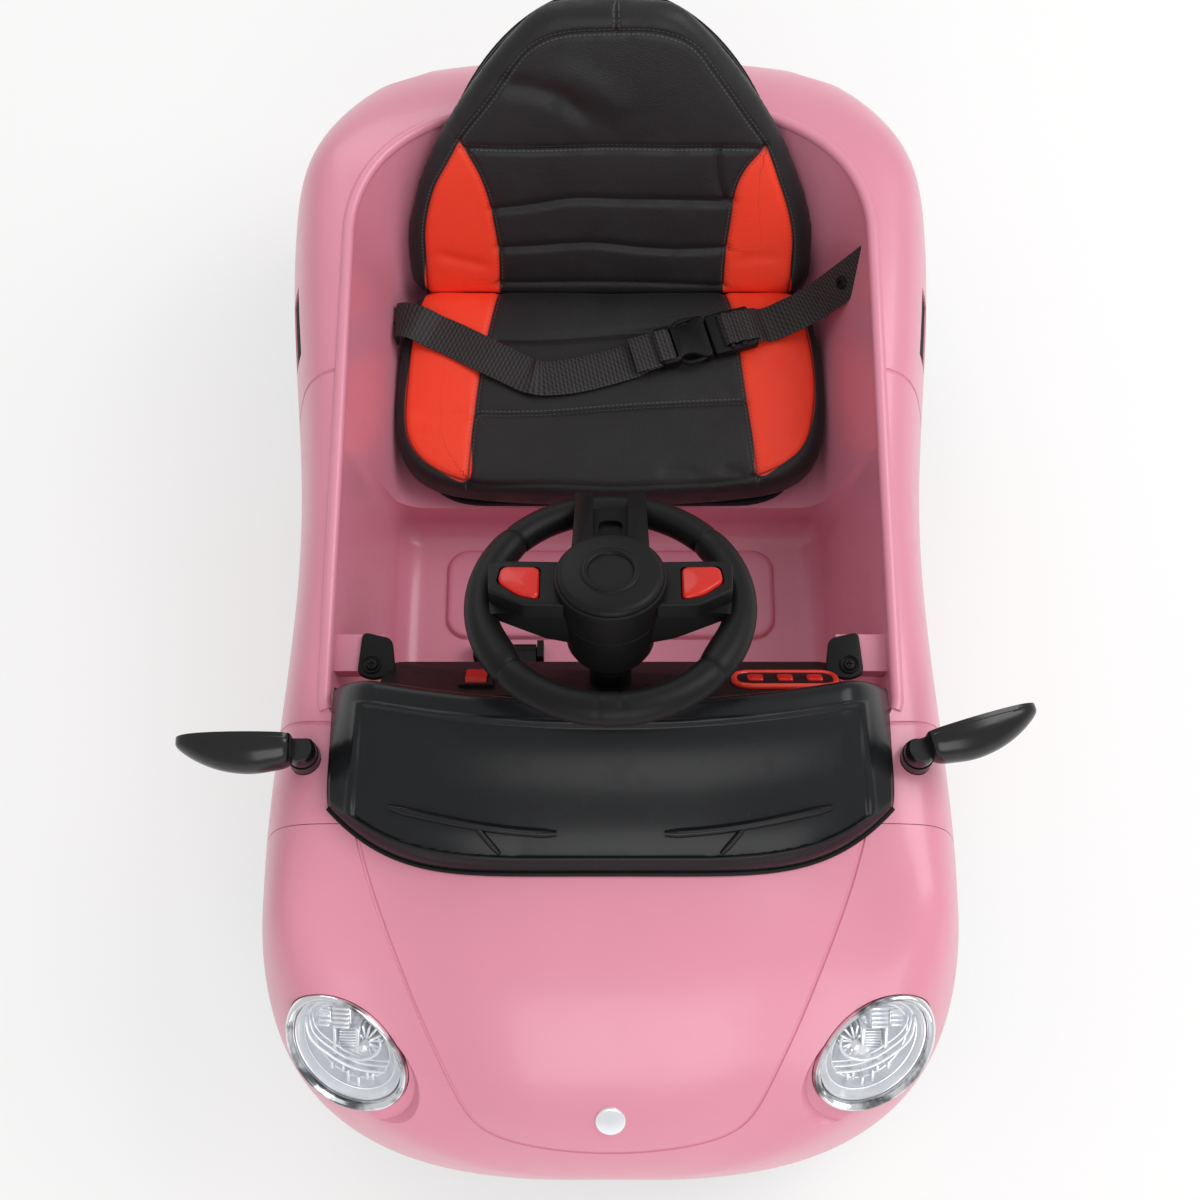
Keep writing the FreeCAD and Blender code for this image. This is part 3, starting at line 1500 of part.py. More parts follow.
def reflector(name, side):
    whole = lamp_cone("bowl_whole_" + name, side, 20, "lamp_dia/2-%f" % (RING_WIDE + 0.4), -34, 30.6)
    hollow_cone = lamp_cone("bowl_hollow_" + name, side, 16, "lamp_dia/2-%f" % (RING_WIDE + 3), -31, 30)
    return cut("bowl_" + name, whole, hollow_cone)


node(group("headlight_bezels", *sides(bezel)))
node(group("headlight_lenses", *sides(lens)))
node(group("headlight_reflectors", *sides(reflector)))


def tail_lamp(name, side):
    disc = tail_rod("tail_disc_" + name, side, "tail_lamp_dia/2", -14, 14)
    dome = tail_cone("tail_dome_" + name, side, "tail_lamp_dia/2-1", "tail_lamp_dia/2-9", -0.5, 6)
    return fuse("tail_lamp_" + name, disc, dome)


node(group("tail_lamps", *sides(tail_lamp)))


def vent(name, side):
    backing = block(
        "vent_block_" + name,
        (24, VENT_LONG + 10, VENT_HIGH + 10),
        ("%d*(rear_width/2-18)" % side, VENT_Y, VENT_Z),
    )
    return common("vent_" + name, backing, backing_form)


node(group("side_vents", *sides(vent)))

# Mirrors: a base in the fender and a housing that folds on its pin.
BASE_RADIUS = 13
MIRROR_PIN = 5
BASE_TOP = 6
BASE_DEEP = 46
MIRROR_TALL = 52
MIRROR_DEEP = 40
MIRROR_GLASS = 8
MIRROR_ROUND = 2.4
MIRROR_STEPS = (-0.99, -0.9, -0.7, -0.4, 0, 0.4, 0.7, 0.9, 0.99)
MIRROR_SWING = {"left": 17, "right": 0}


def mirror_base(name, side):
    spot = ("%d*mirror_side" % side, "-mirror_ahead")
    stem_at = "hood_height+%d" % (BASE_TOP - BASE_DEEP)
    stem = rod("stem_" + name, BASE_RADIUS, BASE_DEEP, (*spot, stem_at))
    pin = rod("mirror_pin_" + name, MIRROR_PIN, 20, (*spot, "hood_height+%d" % (BASE_TOP - 2)))
    return fuse("mirror_base_" + name, stem, pin)


def mirror_form(side):
    """An egg along X: ellipses that grow and shrink from the knob to the tip."""
    wires = []
    for share in MIRROR_STEPS:
        swell = (1 - abs(share) ** MIRROR_ROUND) ** (1 / MIRROR_ROUND)
        x = M.mirror_length / 2 + 3 + share * (M.mirror_length / 2 - 3)
        middle = Vector(side * x, 0, BASE_TOP + 17)
        tall = middle + Vector(0, 0, swell * MIRROR_TALL / 2)
        deep = middle + Vector(0, swell * MIRROR_DEEP / 2, 0)
        wires.append(Part.Wire([Part.Ellipse(tall, deep, middle).toShape()]))
    return Part.makeLoft(wires, True, False)


def mirror(name, side):
    shell = form("mirror_shell_" + name, mirror_form(side))
    knob = rod("knob_" + name, 12, 19, (0, 0, BASE_TOP + 0.3))
    behind = block("behind_" + name, (300, 60, 120), (0, MIRROR_GLASS + 30, 0))
    whole = fuse("mirror_whole_" + name, shell, knob)
    hole = rod("mirror_hole_" + name, "%d+running_gap" % MIRROR_PIN, 18.6, (0, 0, BASE_TOP))
    item = cut(name + "_mirror", whole, behind, hole)
    put(
        item,
        "%d*mirror_side" % side,
        "-mirror_ahead",
        "hood_height",
        Rotation(Vector(0, 0, 1), side * MIRROR_SWING[name]),
    )
    node(item)


node(group("mirror_bases", *sides(mirror_base)))
sides(mirror)

# Screws of the dash ears and of the belt ends.


def ear_screw(name, side):
    spot = ("%d*(rim_half-35)" % side, EAR_Y - 12)
    head = rod("ear_head_" + name, 5, 3, (*spot, EAR_Z + 4.1))
    shank = rod("ear_shank_" + name, 2, 18, (*spot, EAR_Z + 5 - 18))
    return fuse("ear_screw_" + name, head, shank)


def belt_screw(name, side):
    x, y, z = BELT_LEFT if side > 0 else BELT_RIGHT
    head_at = x - 2 if side > 0 else x - 3.1
    shank_at = x - 1 if side > 0 else x - 13
    head = rod("belt_head_" + name, 7, 2.5, (head_at, y, z), "x")
    shank = rod("belt_shank_" + name, 2, 13, (shank_at, y, z), "x")
    return fuse("belt_screw_" + name, head, shank)


node(group("cabin_screws", *sides(ear_screw), *sides(belt_screw)))

document.recompute()
os.makedirs("parts", exist_ok=True)
for item in nodes:
    shape = item.Shape
    bad = "Invalid" in item.State or "Error" in item.State or shape.isNull() or not shape.isValid()
    bad = bad or shape.Volume <= 0
    print(item.Label, "BAD" if bad else "ok", len(shape.Solids), round(shape.Volume / 1000, 1))
    if bad:
        raise SystemExit("sub-part %s failed" % item.Label)
    shape.exportStep("parts/%s.step" % item.Label)
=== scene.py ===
# %% [markdown]
# # A child's electric ride-on car
# The CAD part fixes every size and joint. This lesson dresses it: smooth moulded shells, a stuffed seat
# with sewn panels, woven lap belt, lamps, tyres and all finishes, each riding on its CAD body.

# %% Load the frame
import math

import bmesh
import bpy
import numpy as np
from mathutils import Matrix, Vector


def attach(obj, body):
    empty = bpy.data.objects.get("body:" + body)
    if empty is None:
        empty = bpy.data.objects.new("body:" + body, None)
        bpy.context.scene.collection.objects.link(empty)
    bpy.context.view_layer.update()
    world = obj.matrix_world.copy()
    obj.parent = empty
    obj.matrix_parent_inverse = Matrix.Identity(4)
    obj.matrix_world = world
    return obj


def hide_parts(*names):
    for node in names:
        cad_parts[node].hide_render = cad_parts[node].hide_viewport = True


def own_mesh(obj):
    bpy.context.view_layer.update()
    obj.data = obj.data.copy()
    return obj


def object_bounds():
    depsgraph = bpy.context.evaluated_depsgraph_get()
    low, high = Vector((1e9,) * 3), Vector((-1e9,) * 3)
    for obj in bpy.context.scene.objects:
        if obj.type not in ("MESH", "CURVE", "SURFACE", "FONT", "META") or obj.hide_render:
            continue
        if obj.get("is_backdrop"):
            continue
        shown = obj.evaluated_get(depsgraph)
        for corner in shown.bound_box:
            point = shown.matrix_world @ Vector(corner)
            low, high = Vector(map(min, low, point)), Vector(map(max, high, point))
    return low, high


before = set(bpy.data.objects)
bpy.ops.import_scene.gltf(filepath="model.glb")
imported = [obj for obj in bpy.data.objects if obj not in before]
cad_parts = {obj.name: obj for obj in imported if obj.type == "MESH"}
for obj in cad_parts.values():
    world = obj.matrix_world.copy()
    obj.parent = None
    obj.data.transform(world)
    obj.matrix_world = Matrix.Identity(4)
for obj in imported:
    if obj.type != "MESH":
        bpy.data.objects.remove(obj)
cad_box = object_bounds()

MM = 0.001

# %% [markdown]
# ## Camera
# The photograph looks down at seventy degrees from ahead of the car. A camera could be aimed by eye, but
# the picture's vanishing lines give its tilt and lens, so those are set as numbers.

# %% Camera
IMAGE_SIZE = 1200
CAR_MIDDLE_PIXEL = 610.5
photo_lens = bpy.data.cameras.new("photo_lens")
photo_lens.sensor_width = 36
photo_lens.lens = 54
photo_lens.shift_x = (IMAGE_SIZE / 2 - CAR_MIDDLE_PIXEL) / IMAGE_SIZE
camera = bpy.data.objects.new("photo_camera", photo_lens)
camera.location = (0, -0.584, 1.735)
camera.rotation_euler = (math.radians(20), 0, 0)
bpy.context.scene.collection.objects.link(camera)
bpy.context.scene.camera = camera
print("camera at", tuple(camera.location))

# %% [markdown]
# ## Writing finishes as sums
# A shader is a web of nodes. Wiring it by hand hides the idea, so a socket is wrapped in a small class
# that can be added, multiplied and compared in Python, and one method makes every other node.

# %% Shader helpers
class Amount:
    """A shader socket that takes part in Python sums."""

    def __init__(self, finish, made, index=0):
        self.finish = finish
        self.made = made
        self.socket = made.outputs[index]

    def out(self, name):
        return Amount(self.finish, self.made, name)

    def _sum(self, operation, first, second):
        return self.finish.node("ShaderNodeMath", {"operation": operation}, {0: first, 1: second})

    def __add__(self, other):
        return self._sum("ADD", self, other)

    def __radd__(self, other):
        return self._sum("ADD", other, self)

    def __sub__(self, other):
        return self._sum("SUBTRACT", self, other)

    def __rsub__(self, other):
        return self._sum("SUBTRACT", other, self)

    def __mul__(self, other):
        return self._sum("MULTIPLY", self, other)

    def __rmul__(self, other):
        return self._sum("MULTIPLY", other, self)

    def __truediv__(self, other):
        return self._sum("DIVIDE", self, other)

    def __lt__(self, other):
        return self._sum("LESS_THAN", self, other)

    def __mod__(self, other):
        return self._sum("FLOORED_MODULO", self, other)

    def __abs__(self):
        return self._sum("ABSOLUTE", self, 0.0)


class Finish:
    """A material round one Principled shader."""

    def __init__(self, name, **constants):
        self.material = bpy.data.materials.new(name)
        self.material.use_nodes = True
        self.tree = self.material.node_tree
        self.shader = self.tree.nodes["Principled BSDF"]
        for key, value in constants.items():
            self.shader.inputs[key.replace("_", " ")].default_value = value
        self.coords = self.node("ShaderNodeTexCoord").out("Object")

    def node(self, kind, settings=None, sockets=None):
        made = self.tree.nodes.new(kind)
        for key, value in (settings or {}).items():
            setattr(made, key, value)
        for key, value in (sockets or {}).items():
            self.plug(made.inputs[key], value)
        return Amount(self, made)

    def plug(self, socket, value):
        if isinstance(value, Amount):
            self.tree.links.new(value.socket, socket)
        else:
            socket.default_value = value

    def feed(self, name, value):
        self.plug(self.shader.inputs[name], value)

    def stretch(self, x, y, z):
        scales = {0: self.coords, 1: (x, y, z)}
        return self.node("ShaderNodeVectorMath", {"operation": "MULTIPLY"}, scales)

    def cloud(self, scale, detail=2.0, where=None):
        sockets = {"Vector": where or self.coords, "Scale": scale, "Detail": detail}
        return self.node("ShaderNodeTexNoise", {}, sockets).out("Fac")

    def cells(self, scale, feature):
        sockets = {"Vector": self.coords, "Scale": scale}
        return self.node("ShaderNodeTexVoronoi", {"feature": feature}, sockets).out("Distance")

    def ramp(self, amount, low, high):
        """0 below low, 1 above high."""
        ends = {"Value": amount, "From Min": low, "From Max": high}
        return self.node("ShaderNodeMapRange", {"clamp": True}, ends)

    def blend(self, share, first, second):
        return self.node("ShaderNodeMix", {"data_type": "RGBA"}, {0: share, 6: first, 7: second}).out(2)

    def tell(self, name):
        """A number that a mesh keeps at each point."""
        return self.node("ShaderNodeAttribute", {"attribute_name": name}).out("Fac")

    def bump(self, height, strength=0.3, distance=0.0005):
        sockets = {"Height": height, "Strength": strength, "Distance": distance}
        self.feed("Normal", self.node("ShaderNodeBump", {}, sockets))


def colour(red, green, blue):
    """A screen colour (0 to 255) as light."""
    parts = []
    for level in (red, green, blue):
        share = level / 255
        parts.append(share / 12.92 if share <= 0.04045 else ((share + 0.055) / 1.055) ** 2.4)
    return (*parts, 1.0)


print("finishes are written as sums of sockets")

# %% [markdown]
# ## Moulded plastics
# The shells are glossy blow-moulded plastic: a clean colour that drifts slightly, a soft orange-peel skin
# and faint rub marks. Black trim is satin with a fine spark-eroded grain. Noise in the object's own
# coordinates gives both without any pictures.

# %% Moulded plastics
def moulded(name, tone, rough, grain, depth, coat=0.0, drift=0.04, shine=0.5):
    """A plastic by its colour and roughness, and by how fine and how deep (in metres) its skin is."""
    finish = Finish(name, Coat_Weight=coat, Coat_Roughness=0.12, Specular_IOR_Level=shine)
    patch = finish.cloud(6.0, 3.0)
    darker = tuple(level * (1 - drift) for level in tone[:3]) + (1.0,)
    finish.feed("Base Color", finish.blend(finish.ramp(patch, 0.35, 0.65), darker, tone))
    rub = finish.ramp(finish.cloud(45.0, 6.0), 0.56, 0.7)
    finish.feed("Roughness", rough + 0.06 * finish.cloud(11.0, 2.0) + 0.07 * rub)
    finish.bump(finish.cloud(grain, 2.0), 0.25, depth)
    return finish.material


body_pink = moulded("body_pink", colour(222, 141, 162), 0.3, 420.0, 0.00012, coat=0.2)
cover_black = moulded("cover_black", colour(25, 26, 28), 0.22, 700.0, 0.00012, drift=0.12, shine=0.24)
gloss_black = moulded("gloss_black", colour(15, 15, 16), 0.18, 700.0, 0.00008, drift=0.1, shine=0.45)
satin_black = moulded("satin_black", colour(17, 17, 18), 0.42, 1500.0, 0.0003, drift=0.15, shine=0.2)
frame_orange = moulded("frame_orange", colour(222, 52, 30), 0.28, 600.0, 0.0001, coat=0.3)
button_red = moulded("button_red", colour(200, 34, 25), 0.24, 500.0, 0.00008, coat=0.15, shine=0.35)
lamp_red = moulded("lamp_red", colour(170, 10, 16), 0.1, 300.0, 0.0001, coat=0.8)
gear_white = moulded("gear_white", colour(225, 222, 214), 0.4, 900.0, 0.0002)
hub_silver = moulded("hub_silver", colour(176, 178, 184), 0.24, 900.0, 0.0001, coat=0.4)
print("plastics", body_pink.name, satin_black.name, hub_silver.name)

# %% [markdown]
# ## Tyre, steel, plating and glass
# The tyres are dull hard plastic with patches of dust. Steel rods are drawn, so their marks run
# along one way. Plated trim is a clean metal, and the lamp glass is clear with a trace of waviness.
# Seen edge-on, the lamp glass is painted whiter, as a reflection.

# %% Tyre, steel, plating and glass
def tyre_finish():
    finish = Finish("tyre_black")
    dust = finish.ramp(finish.cloud(60.0, 5.0), 0.48, 0.75)
    finish.feed("Base Color", finish.blend(dust * 0.35, colour(24, 24, 25), colour(92, 88, 82)))
    finish.feed("Roughness", 0.62 + 0.2 * dust)
    finish.bump(finish.cloud(900.0, 3.0), 0.35, 0.0004)
    return finish.material


def metal_finish(name, tone, rough, along, metallic=1.0):
    """A metal whose marks are as tight in each direction as along says."""
    finish = Finish(name, Metallic=metallic)
    marks = finish.cloud(1.0, 3.0, finish.stretch(*along))
    grime = finish.ramp(finish.cloud(30.0, 4.0), 0.55, 0.75)
    dull = tuple(level * 0.72 for level in tone[:3]) + (1.0,)
    finish.feed("Base Color", finish.blend(grime * 0.6, tone, dull))
    finish.feed("Roughness", rough + 0.14 * marks + 0.12 * grime)
    finish.bump(marks, 0.12, 0.0002)
    return finish.material


def plated_finish():
    """Bright plating whose dark streaks stand for the room that it mirrors."""
    finish = Finish("plated", Metallic=1.0)
    streak = finish.ramp(finish.cloud(34.0, 3.0), 0.5, 0.62)
    finish.feed("Base Color", finish.blend(streak * 0.85, colour(240, 241, 244), colour(52, 54, 58)))
    finish.feed("Roughness", 0.06 + 0.1 * finish.cloud(60.0))
    return finish.material


def clear_finish():
    finish = Finish("lamp_clear", Roughness=0.03, IOR=1.46)
    finish.feed("Base Color", colour(246, 249, 252))
    # painted reflection: the glass is painted whiter and less clear where it is seen edge-on
    edge = finish.node("ShaderNodeLayerWeight", {}, {"Blend": 0.35}).out("Facing")
    finish.feed("Alpha", 0.05 + 0.3 * edge)
    finish.bump(finish.cloud(60.0), 0.1, 0.0003)
    return finish.material


tyre_black = tyre_finish()
steel = metal_finish("steel", colour(196, 196, 200), 0.26, (60.0, 900.0, 900.0))
plated = plated_finish()
mirror_film = metal_finish("mirror_film", colour(232, 236, 240), 0.03, (50.0, 50.0, 50.0))
lamp_silver = metal_finish("lamp_silver", colour(243, 244, 248), 0.1, (120.0, 120.0, 120.0), 0.6)
lamp_clear = clear_finish()
print("metals and glass ready")

# %% [markdown]
# ## Leathercloth and webbing
# The seat cover is grained black leathercloth with orange-red side panels. The mesh will carry, at each
# point, how far it is inside a red panel and from the nearest seam, so one finish paints the panels with
# clean edges, draws the stitches and paints shade into each seam's groove. Webbing is woven: ribs across,
# lines along.
# Its raised threads are painted lighter than its hollows, as a highlight.

# %% Leathercloth and webbing
STITCH, STITCH_OUT = 0.0042, 0.0022  # in metres, as the meshes keep them
RIB, WARP, TWILL = 0.0036, 0.0024, 0.0060


def leather_finish():
    finish = Finish("seat_leather", Sheen_Weight=0.03, Specular_IOR_Level=0.28)
    red = finish.ramp(finish.tell("red_in"), -0.0004, 0.0004)
    seam = abs(finish.tell("seam_off"))
    fade = finish.cloud(14.0, 4.0)
    black = finish.blend(fade, colour(27, 26, 27), colour(41, 40, 41))
    orange = finish.blend(fade, colour(246, 62, 38), colour(255, 74, 47))
    skin = finish.blend(red, black, orange)
    stitched = (abs(seam - STITCH_OUT) < 0.00055) * (finish.tell("seam_run") % STITCH < STITCH * 0.68)
    stitched = stitched * finish.ramp(finish.tell("seam_kind"), 0.4, 0.6)
    thread = finish.blend(red, colour(74, 75, 80), colour(205, 60, 42))
    # painted shade: close to each seam the leather is painted near black, where its pressed-in groove lies in shade
    groove = 1 - finish.ramp(seam, 0.0004, 0.0016)
    shaded = finish.blend(groove * 0.75, skin, colour(14, 12, 12))
    finish.feed("Base Color", finish.blend(stitched * 0.8, shaded, thread))
    pebble = finish.cells(720.0, "SMOOTH_F1")
    fine = finish.cloud(1900.0, 2.0)
    crease = finish.ramp(finish.cloud(38.0, 6.0), 0.5, 0.62)
    finish.feed("Roughness", 0.38 + 0.14 * fade + 0.12 * crease)
    finish.bump(pebble * 0.8 + fine * 0.15 + stitched * 1.2 - crease * 0.25, 0.5, 0.0005)
    return finish.material


def webbing_finish():
    finish = Finish("webbing", Sheen_Weight=0.05, Specular_IOR_Level=0.35)
    across = finish.tell("across")
    along = finish.tell("along")
    rib = abs(along % RIB - RIB / 2) / (RIB / 2)
    warp = abs(across % WARP - WARP / 2) / (WARP / 2)
    twill = abs((across + along) % TWILL - TWILL / 2) / (TWILL / 2)
    height = rib * 0.6 + warp * 0.35 + twill * 0.3
    fuzz = finish.cloud(2600.0, 2.0)
    # painted highlight: the weave's raised threads are painted light grey and its hollows near black
    tone = finish.blend(finish.ramp(height + fuzz * 0.3, 0.45, 1.25), colour(7, 7, 8), colour(62, 60, 61))
    finish.feed("Base Color", tone)
    finish.feed("Roughness", 0.5 + 0.14 * fuzz)
    finish.bump(height + fuzz * 0.2, 0.7, 0.0006)
    return finish.material


seat_leather = leather_finish()
webbing = webbing_finish()
print("soft finishes ready")

# %% [markdown]
# ## From points to pieces
# Pieces are written in millimetres as rings of points. A loft joins rings of equal count with quads, which
# keeps the mesh even and easy to shade.

# %% Lofts
def loft(rings, caps=True):
    """Points and quads through rings of equal count."""
    rings = [np.asarray(ring, float) for ring in rings]
    count = len(rings[0])
    faces = []
    for row in range(len(rings) - 1):
        for step in range(count):
            after = (step + 1) % count
            low, high = row * count, (row + 1) * count
            faces.append((low + step, low + after, high + after, high + step))
    if caps:
        last = (len(rings) - 1) * count
        faces.append(tuple(range(count - 1, -1, -1)))
        faces.append(tuple(range(last, last + count)))
    return np.concatenate(rings), faces


def together(*parts):
    """Several point-and-face sets as one."""
    points, faces, start = [], [], 0
    for some, their in parts:
        points.append(np.asarray(some, float))
        faces += [tuple(start + i for i in face) for face in their]
        start += len(some)
    return np.concatenate(points), faces


def solid(name, points, faces):
    mesh = bpy.data.meshes.new(name)
    mesh.from_pydata((np.asarray(points) * MM).tolist(), [], faces)
    thing = bpy.data.objects.new(name, mesh)
    bpy.context.scene.collection.objects.link(thing)
    outward(mesh)
    return thing


def outward(mesh):
    box = bmesh.new()
    box.from_mesh(mesh)
    bmesh.ops.recalc_face_normals(box, faces=box.faces)
    box.to_mesh(mesh)
    box.free()


print("rings become meshes through loft and solid")

# %% [markdown]
# ## Cutting, rounding and dressing
# Booleans could stay as modifiers, but each is settled at once, so the next step works on real points. Edges
# sharper than a given angle are marked sharp. One call then gives a piece its finish and its moving body.

# %% Cutting and dressing
SHARP = math.radians(38)


def settle(thing):
    """Replaces the mesh by what the modifiers make of it."""
    ready = thing.evaluated_get(bpy.context.evaluated_depsgraph_get())
    mesh = bpy.data.meshes.new_from_object(ready)
    thing.modifiers.clear()
    thing.data = mesh


def carve(thing, tool, kind="DIFFERENCE"):
    """Cuts a tool out of a piece, or joins it on, and clears the tool away."""
    knife = thing.modifiers.new("carve", "BOOLEAN")
    knife.operation = kind
    knife.solver = "MANIFOLD"
    knife.object = tool
    settle(thing)
    bpy.data.objects.remove(tool)


def soften(thing, width, steps):
    """Rounds the sharp edges and keeps the flats flat."""
    bevel = thing.modifiers.new("soften", "BEVEL")
    bevel.width = width * MM
    bevel.segments = steps
    bevel.limit_method = "ANGLE"
    bevel.angle_limit = math.radians(30)
    bevel.harden_normals = False
    settle(thing)


def shade(thing, angle=SHARP):
    thing.data.shade_smooth()
    box = bmesh.new()
    box.from_mesh(thing.data)
    for edge in box.edges:
        if len(edge.link_faces) == 2:
            edge.smooth = edge.calc_face_angle(0.0) < angle
    box.to_mesh(thing.data)
    box.free()


def dress(thing, finish, body, slot, *nodes, angle=SHARP):
    """Gives a piece its finish, its body and the nodes that it stands for."""
    shade(thing, angle)
    thing.data.materials.clear()
    thing.data.materials.append(finish)
    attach(thing, body)
    if nodes:
        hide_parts(*nodes)
    print(thing.name, len(thing.data.polygons), "faces on", body)
    return thing


print("edges over", round(math.degrees(SHARP)), "degrees stay sharp")

# %% [markdown]
# ## Curves, bars and turned pieces
# A curve passes through every given point and bends smoothly between them. Bars follow such a curve, and
# anything round is a profile turned about its axis.

# %% Curves, bars and turned pieces
def spline(points, count):
    """A smooth curve through points, by chord length, sampled evenly in its parameter."""
    knots = np.asarray(points, float)
    chords = np.linalg.norm(np.diff(knots, axis=0), axis=1)
    at = np.concatenate([[0.0], np.cumsum(chords)]) / chords.sum()
    size = len(at)
    gap = np.diff(at)
    rows = np.zeros((size, size))
    right = np.zeros_like(knots)
    rows[0, 0] = rows[-1, -1] = 1.0
    for i in range(1, size - 1):
        rows[i, i - 1 : i + 2] = gap[i - 1], 2 * (gap[i - 1] + gap[i]), gap[i]
        right[i] = 3 * ((knots[i + 1] - knots[i]) / gap[i] - (knots[i] - knots[i - 1]) / gap[i - 1])
    bend = np.linalg.solve(rows, right)
    where = np.linspace(0, 1, count)
    span = np.clip(np.searchsorted(at, where, side="right") - 1, 0, size - 2)
    step = (where - at[span])[:, None]
    wide = gap[span][:, None]
    slope = (knots[span + 1] - knots[span]) / wide - wide * (2 * bend[span] + bend[span + 1]) / 3
    third = (bend[span + 1] - bend[span]) / (3 * wide)
    return knots[span] + slope * step + bend[span] * step**2 + third * step**3


def tube(path, radius, sides):
    """A round bar along a path; the radius may change along it."""
    path = np.asarray(path, float)
    radius = np.broadcast_to(radius, len(path))
    way = np.gradient(path, axis=0)
    way /= np.linalg.norm(way, axis=1)[:, None]
    turns = np.linspace(0, 2 * math.pi, sides, endpoint=False)
    helper = np.array([0.0, 0.0, 1.0]) if abs(way[0][2]) < 0.9 else np.array([1.0, 0.0, 0.0])
    rings = []
    for spot, ahead, size in zip(path, way, radius):
        first = np.cross(helper, ahead)
        first /= np.linalg.norm(first)
        helper = np.cross(ahead, first)
        rings.append([spot + size * (first * math.cos(a) + helper * math.sin(a)) for a in turns])
    return loft(rings)


def hoop(rings):
    """A loft whose last ring joins its first."""
    points, faces = loft(rings, caps=False)
    count = len(rings[0])
    last = (len(rings) - 1) * count
    return points, faces + [(last + i, last + (i + 1) % count, (i + 1) % count, i) for i in range(count)]


def spun(profile, turns):
    """A closed profile of (radius, height) turned round Z."""
    rings = []
    for step in range(turns):
        angle = 2 * math.pi * step / turns
        rings.append([(r * math.cos(angle), r * math.sin(angle), z) for r, z in profile])
    return hoop(rings)


print("a quarter along a bend", spline([(0, 0), (1, 1), (2, 0)], 5)[1].round(3))

# %% [markdown]
# ## Plates and places
# A plate is an outline with eased corners, raised to a height with a rounded upper edge. It is drawn flat,
# where its numbers are easy to read, and then moved to its place and tilt.

# %% Plates and places
def moved(points, place):
    """Points through a 4 by 4 placement in millimetres."""
    turn = np.array(place.to_3x3())
    return np.asarray(points, float) @ turn.T + np.array(place.translation)


def placed(spot, turn_degrees=0.0, axis="X"):
    return Matrix.Translation(Vector(spot)) @ Matrix.Rotation(math.radians(turn_degrees), 4, axis)


def eased(corners, radius, steps=7):
    """A polygon with rounded corners."""
    corners = np.asarray(corners, float)
    line = []
    for index, corner in enumerate(corners):
        before, after = corners[index - 1] - corner, corners[(index + 1) % len(corners)] - corner
        start = corner + before / np.linalg.norm(before) * radius
        end = corner + after / np.linalg.norm(after) * radius
        for share in np.linspace(0, 1, steps):
            line.append((1 - share) ** 2 * start + 2 * share * (1 - share) * corner + share**2 * end)
    return np.array(line)


def slab(outline, low, high, edge=0.0, crown_up=0.0, steps=5):
    """A plate with a rounded upper edge, drawn in about its middle."""
    outline = np.asarray(outline, float)
    middle = outline.mean(axis=0)
    reach = np.abs(outline - middle).max()
    levels = [(1.0, low)]
    for angle in np.linspace(0, math.pi / 2, steps):
        inset = edge * (1 - math.cos(angle))
        levels.append((1 - inset / reach, high - edge + edge * math.sin(angle)))
    if crown_up:
        brim = levels[-1][0]
        for share in (0.25, 0.5, 0.75, 1.0):
            levels.append((mix(brim, 0.05, share), high + crown_up * (1 - (1 - share) ** 2)))
    rings = []
    for size, z in levels:
        flat = middle + (outline - middle) * size
        rings.append(np.column_stack([flat, np.full(len(flat), z)]))
    return loft(rings)


def on(place, shape):
    points, faces = shape
    return moved(points, place), faces


def facing(spot, way):
    """A frame whose third axis is a lamp's direction and whose second points up the slope."""
    z = Vector(way).normalized()
    x = Vector((0, 0, 1)).cross(z).normalized()
    y = z.cross(x)
    turn = Matrix((x, y, z)).transposed().to_4x4()
    return Matrix.Translation(Vector(spot)) @ turn


print("an eased square has", len(eased([(0, 0), (9, 0), (9, 9), (0, 9)], 2)), "points")

# %% [markdown]
# ## The body's form
# The shell is one flowing form from nose to tail. Sections across the car are drawn through a few points,
# with rounded ends, and the same form set in by the wall makes the hollow underneath. Booleans then open
# the cabin, the wheel arches and the lamp seats, as a toolmaker would.

# %% Body sections
BODY_LONG, NOSE_DEEP, TAIL_DEEP = 1050.0, 224.0, 215.0
FRONT_HALF, WAIST_HALF, REAR_HALF = 294.0, 280.0, 302.0
HOOD_TOP, WAIST_TOP, DECK_TOP = 336.0, 346.0, 352.0
NOSE_TIP, TAIL_TIP, SILL = 165.0, 172.0, 60.0
SILL_TUCK, FENDER_DIP, WALL = 24.0, 7.0, 4.0


def rise(share, power):
    share = min(max(share, 0.0), 1.0)
    return (1 - (1 - share) ** power) ** (1 / power)


def ease(share):
    share = min(max(share, 0.0), 1.0)
    return share * share * (3 - 2 * share)


def mix(first, second, share):
    return first + (second - first) * share


def half_width(y, inset):
    nose, tail = -BODY_LONG / 2 + inset, BODY_LONG / 2 - inset
    front, rear = FRONT_HALF - inset, REAR_HALF - inset
    if y < nose + NOSE_DEEP:
        return front * rise((y - nose) / NOSE_DEEP, 2.78)
    if y > tail - TAIL_DEEP:
        return rear * rise((tail - y) / TAIL_DEEP, 3.2)
    share = (y - nose - NOSE_DEEP) / (tail - nose - TAIL_DEEP - NOSE_DEEP)
    dip = (front + rear) / 2 - (WAIST_HALF - inset)
    return front + (rear - front) * share - dip * math.sin(math.pi * share) ** 2


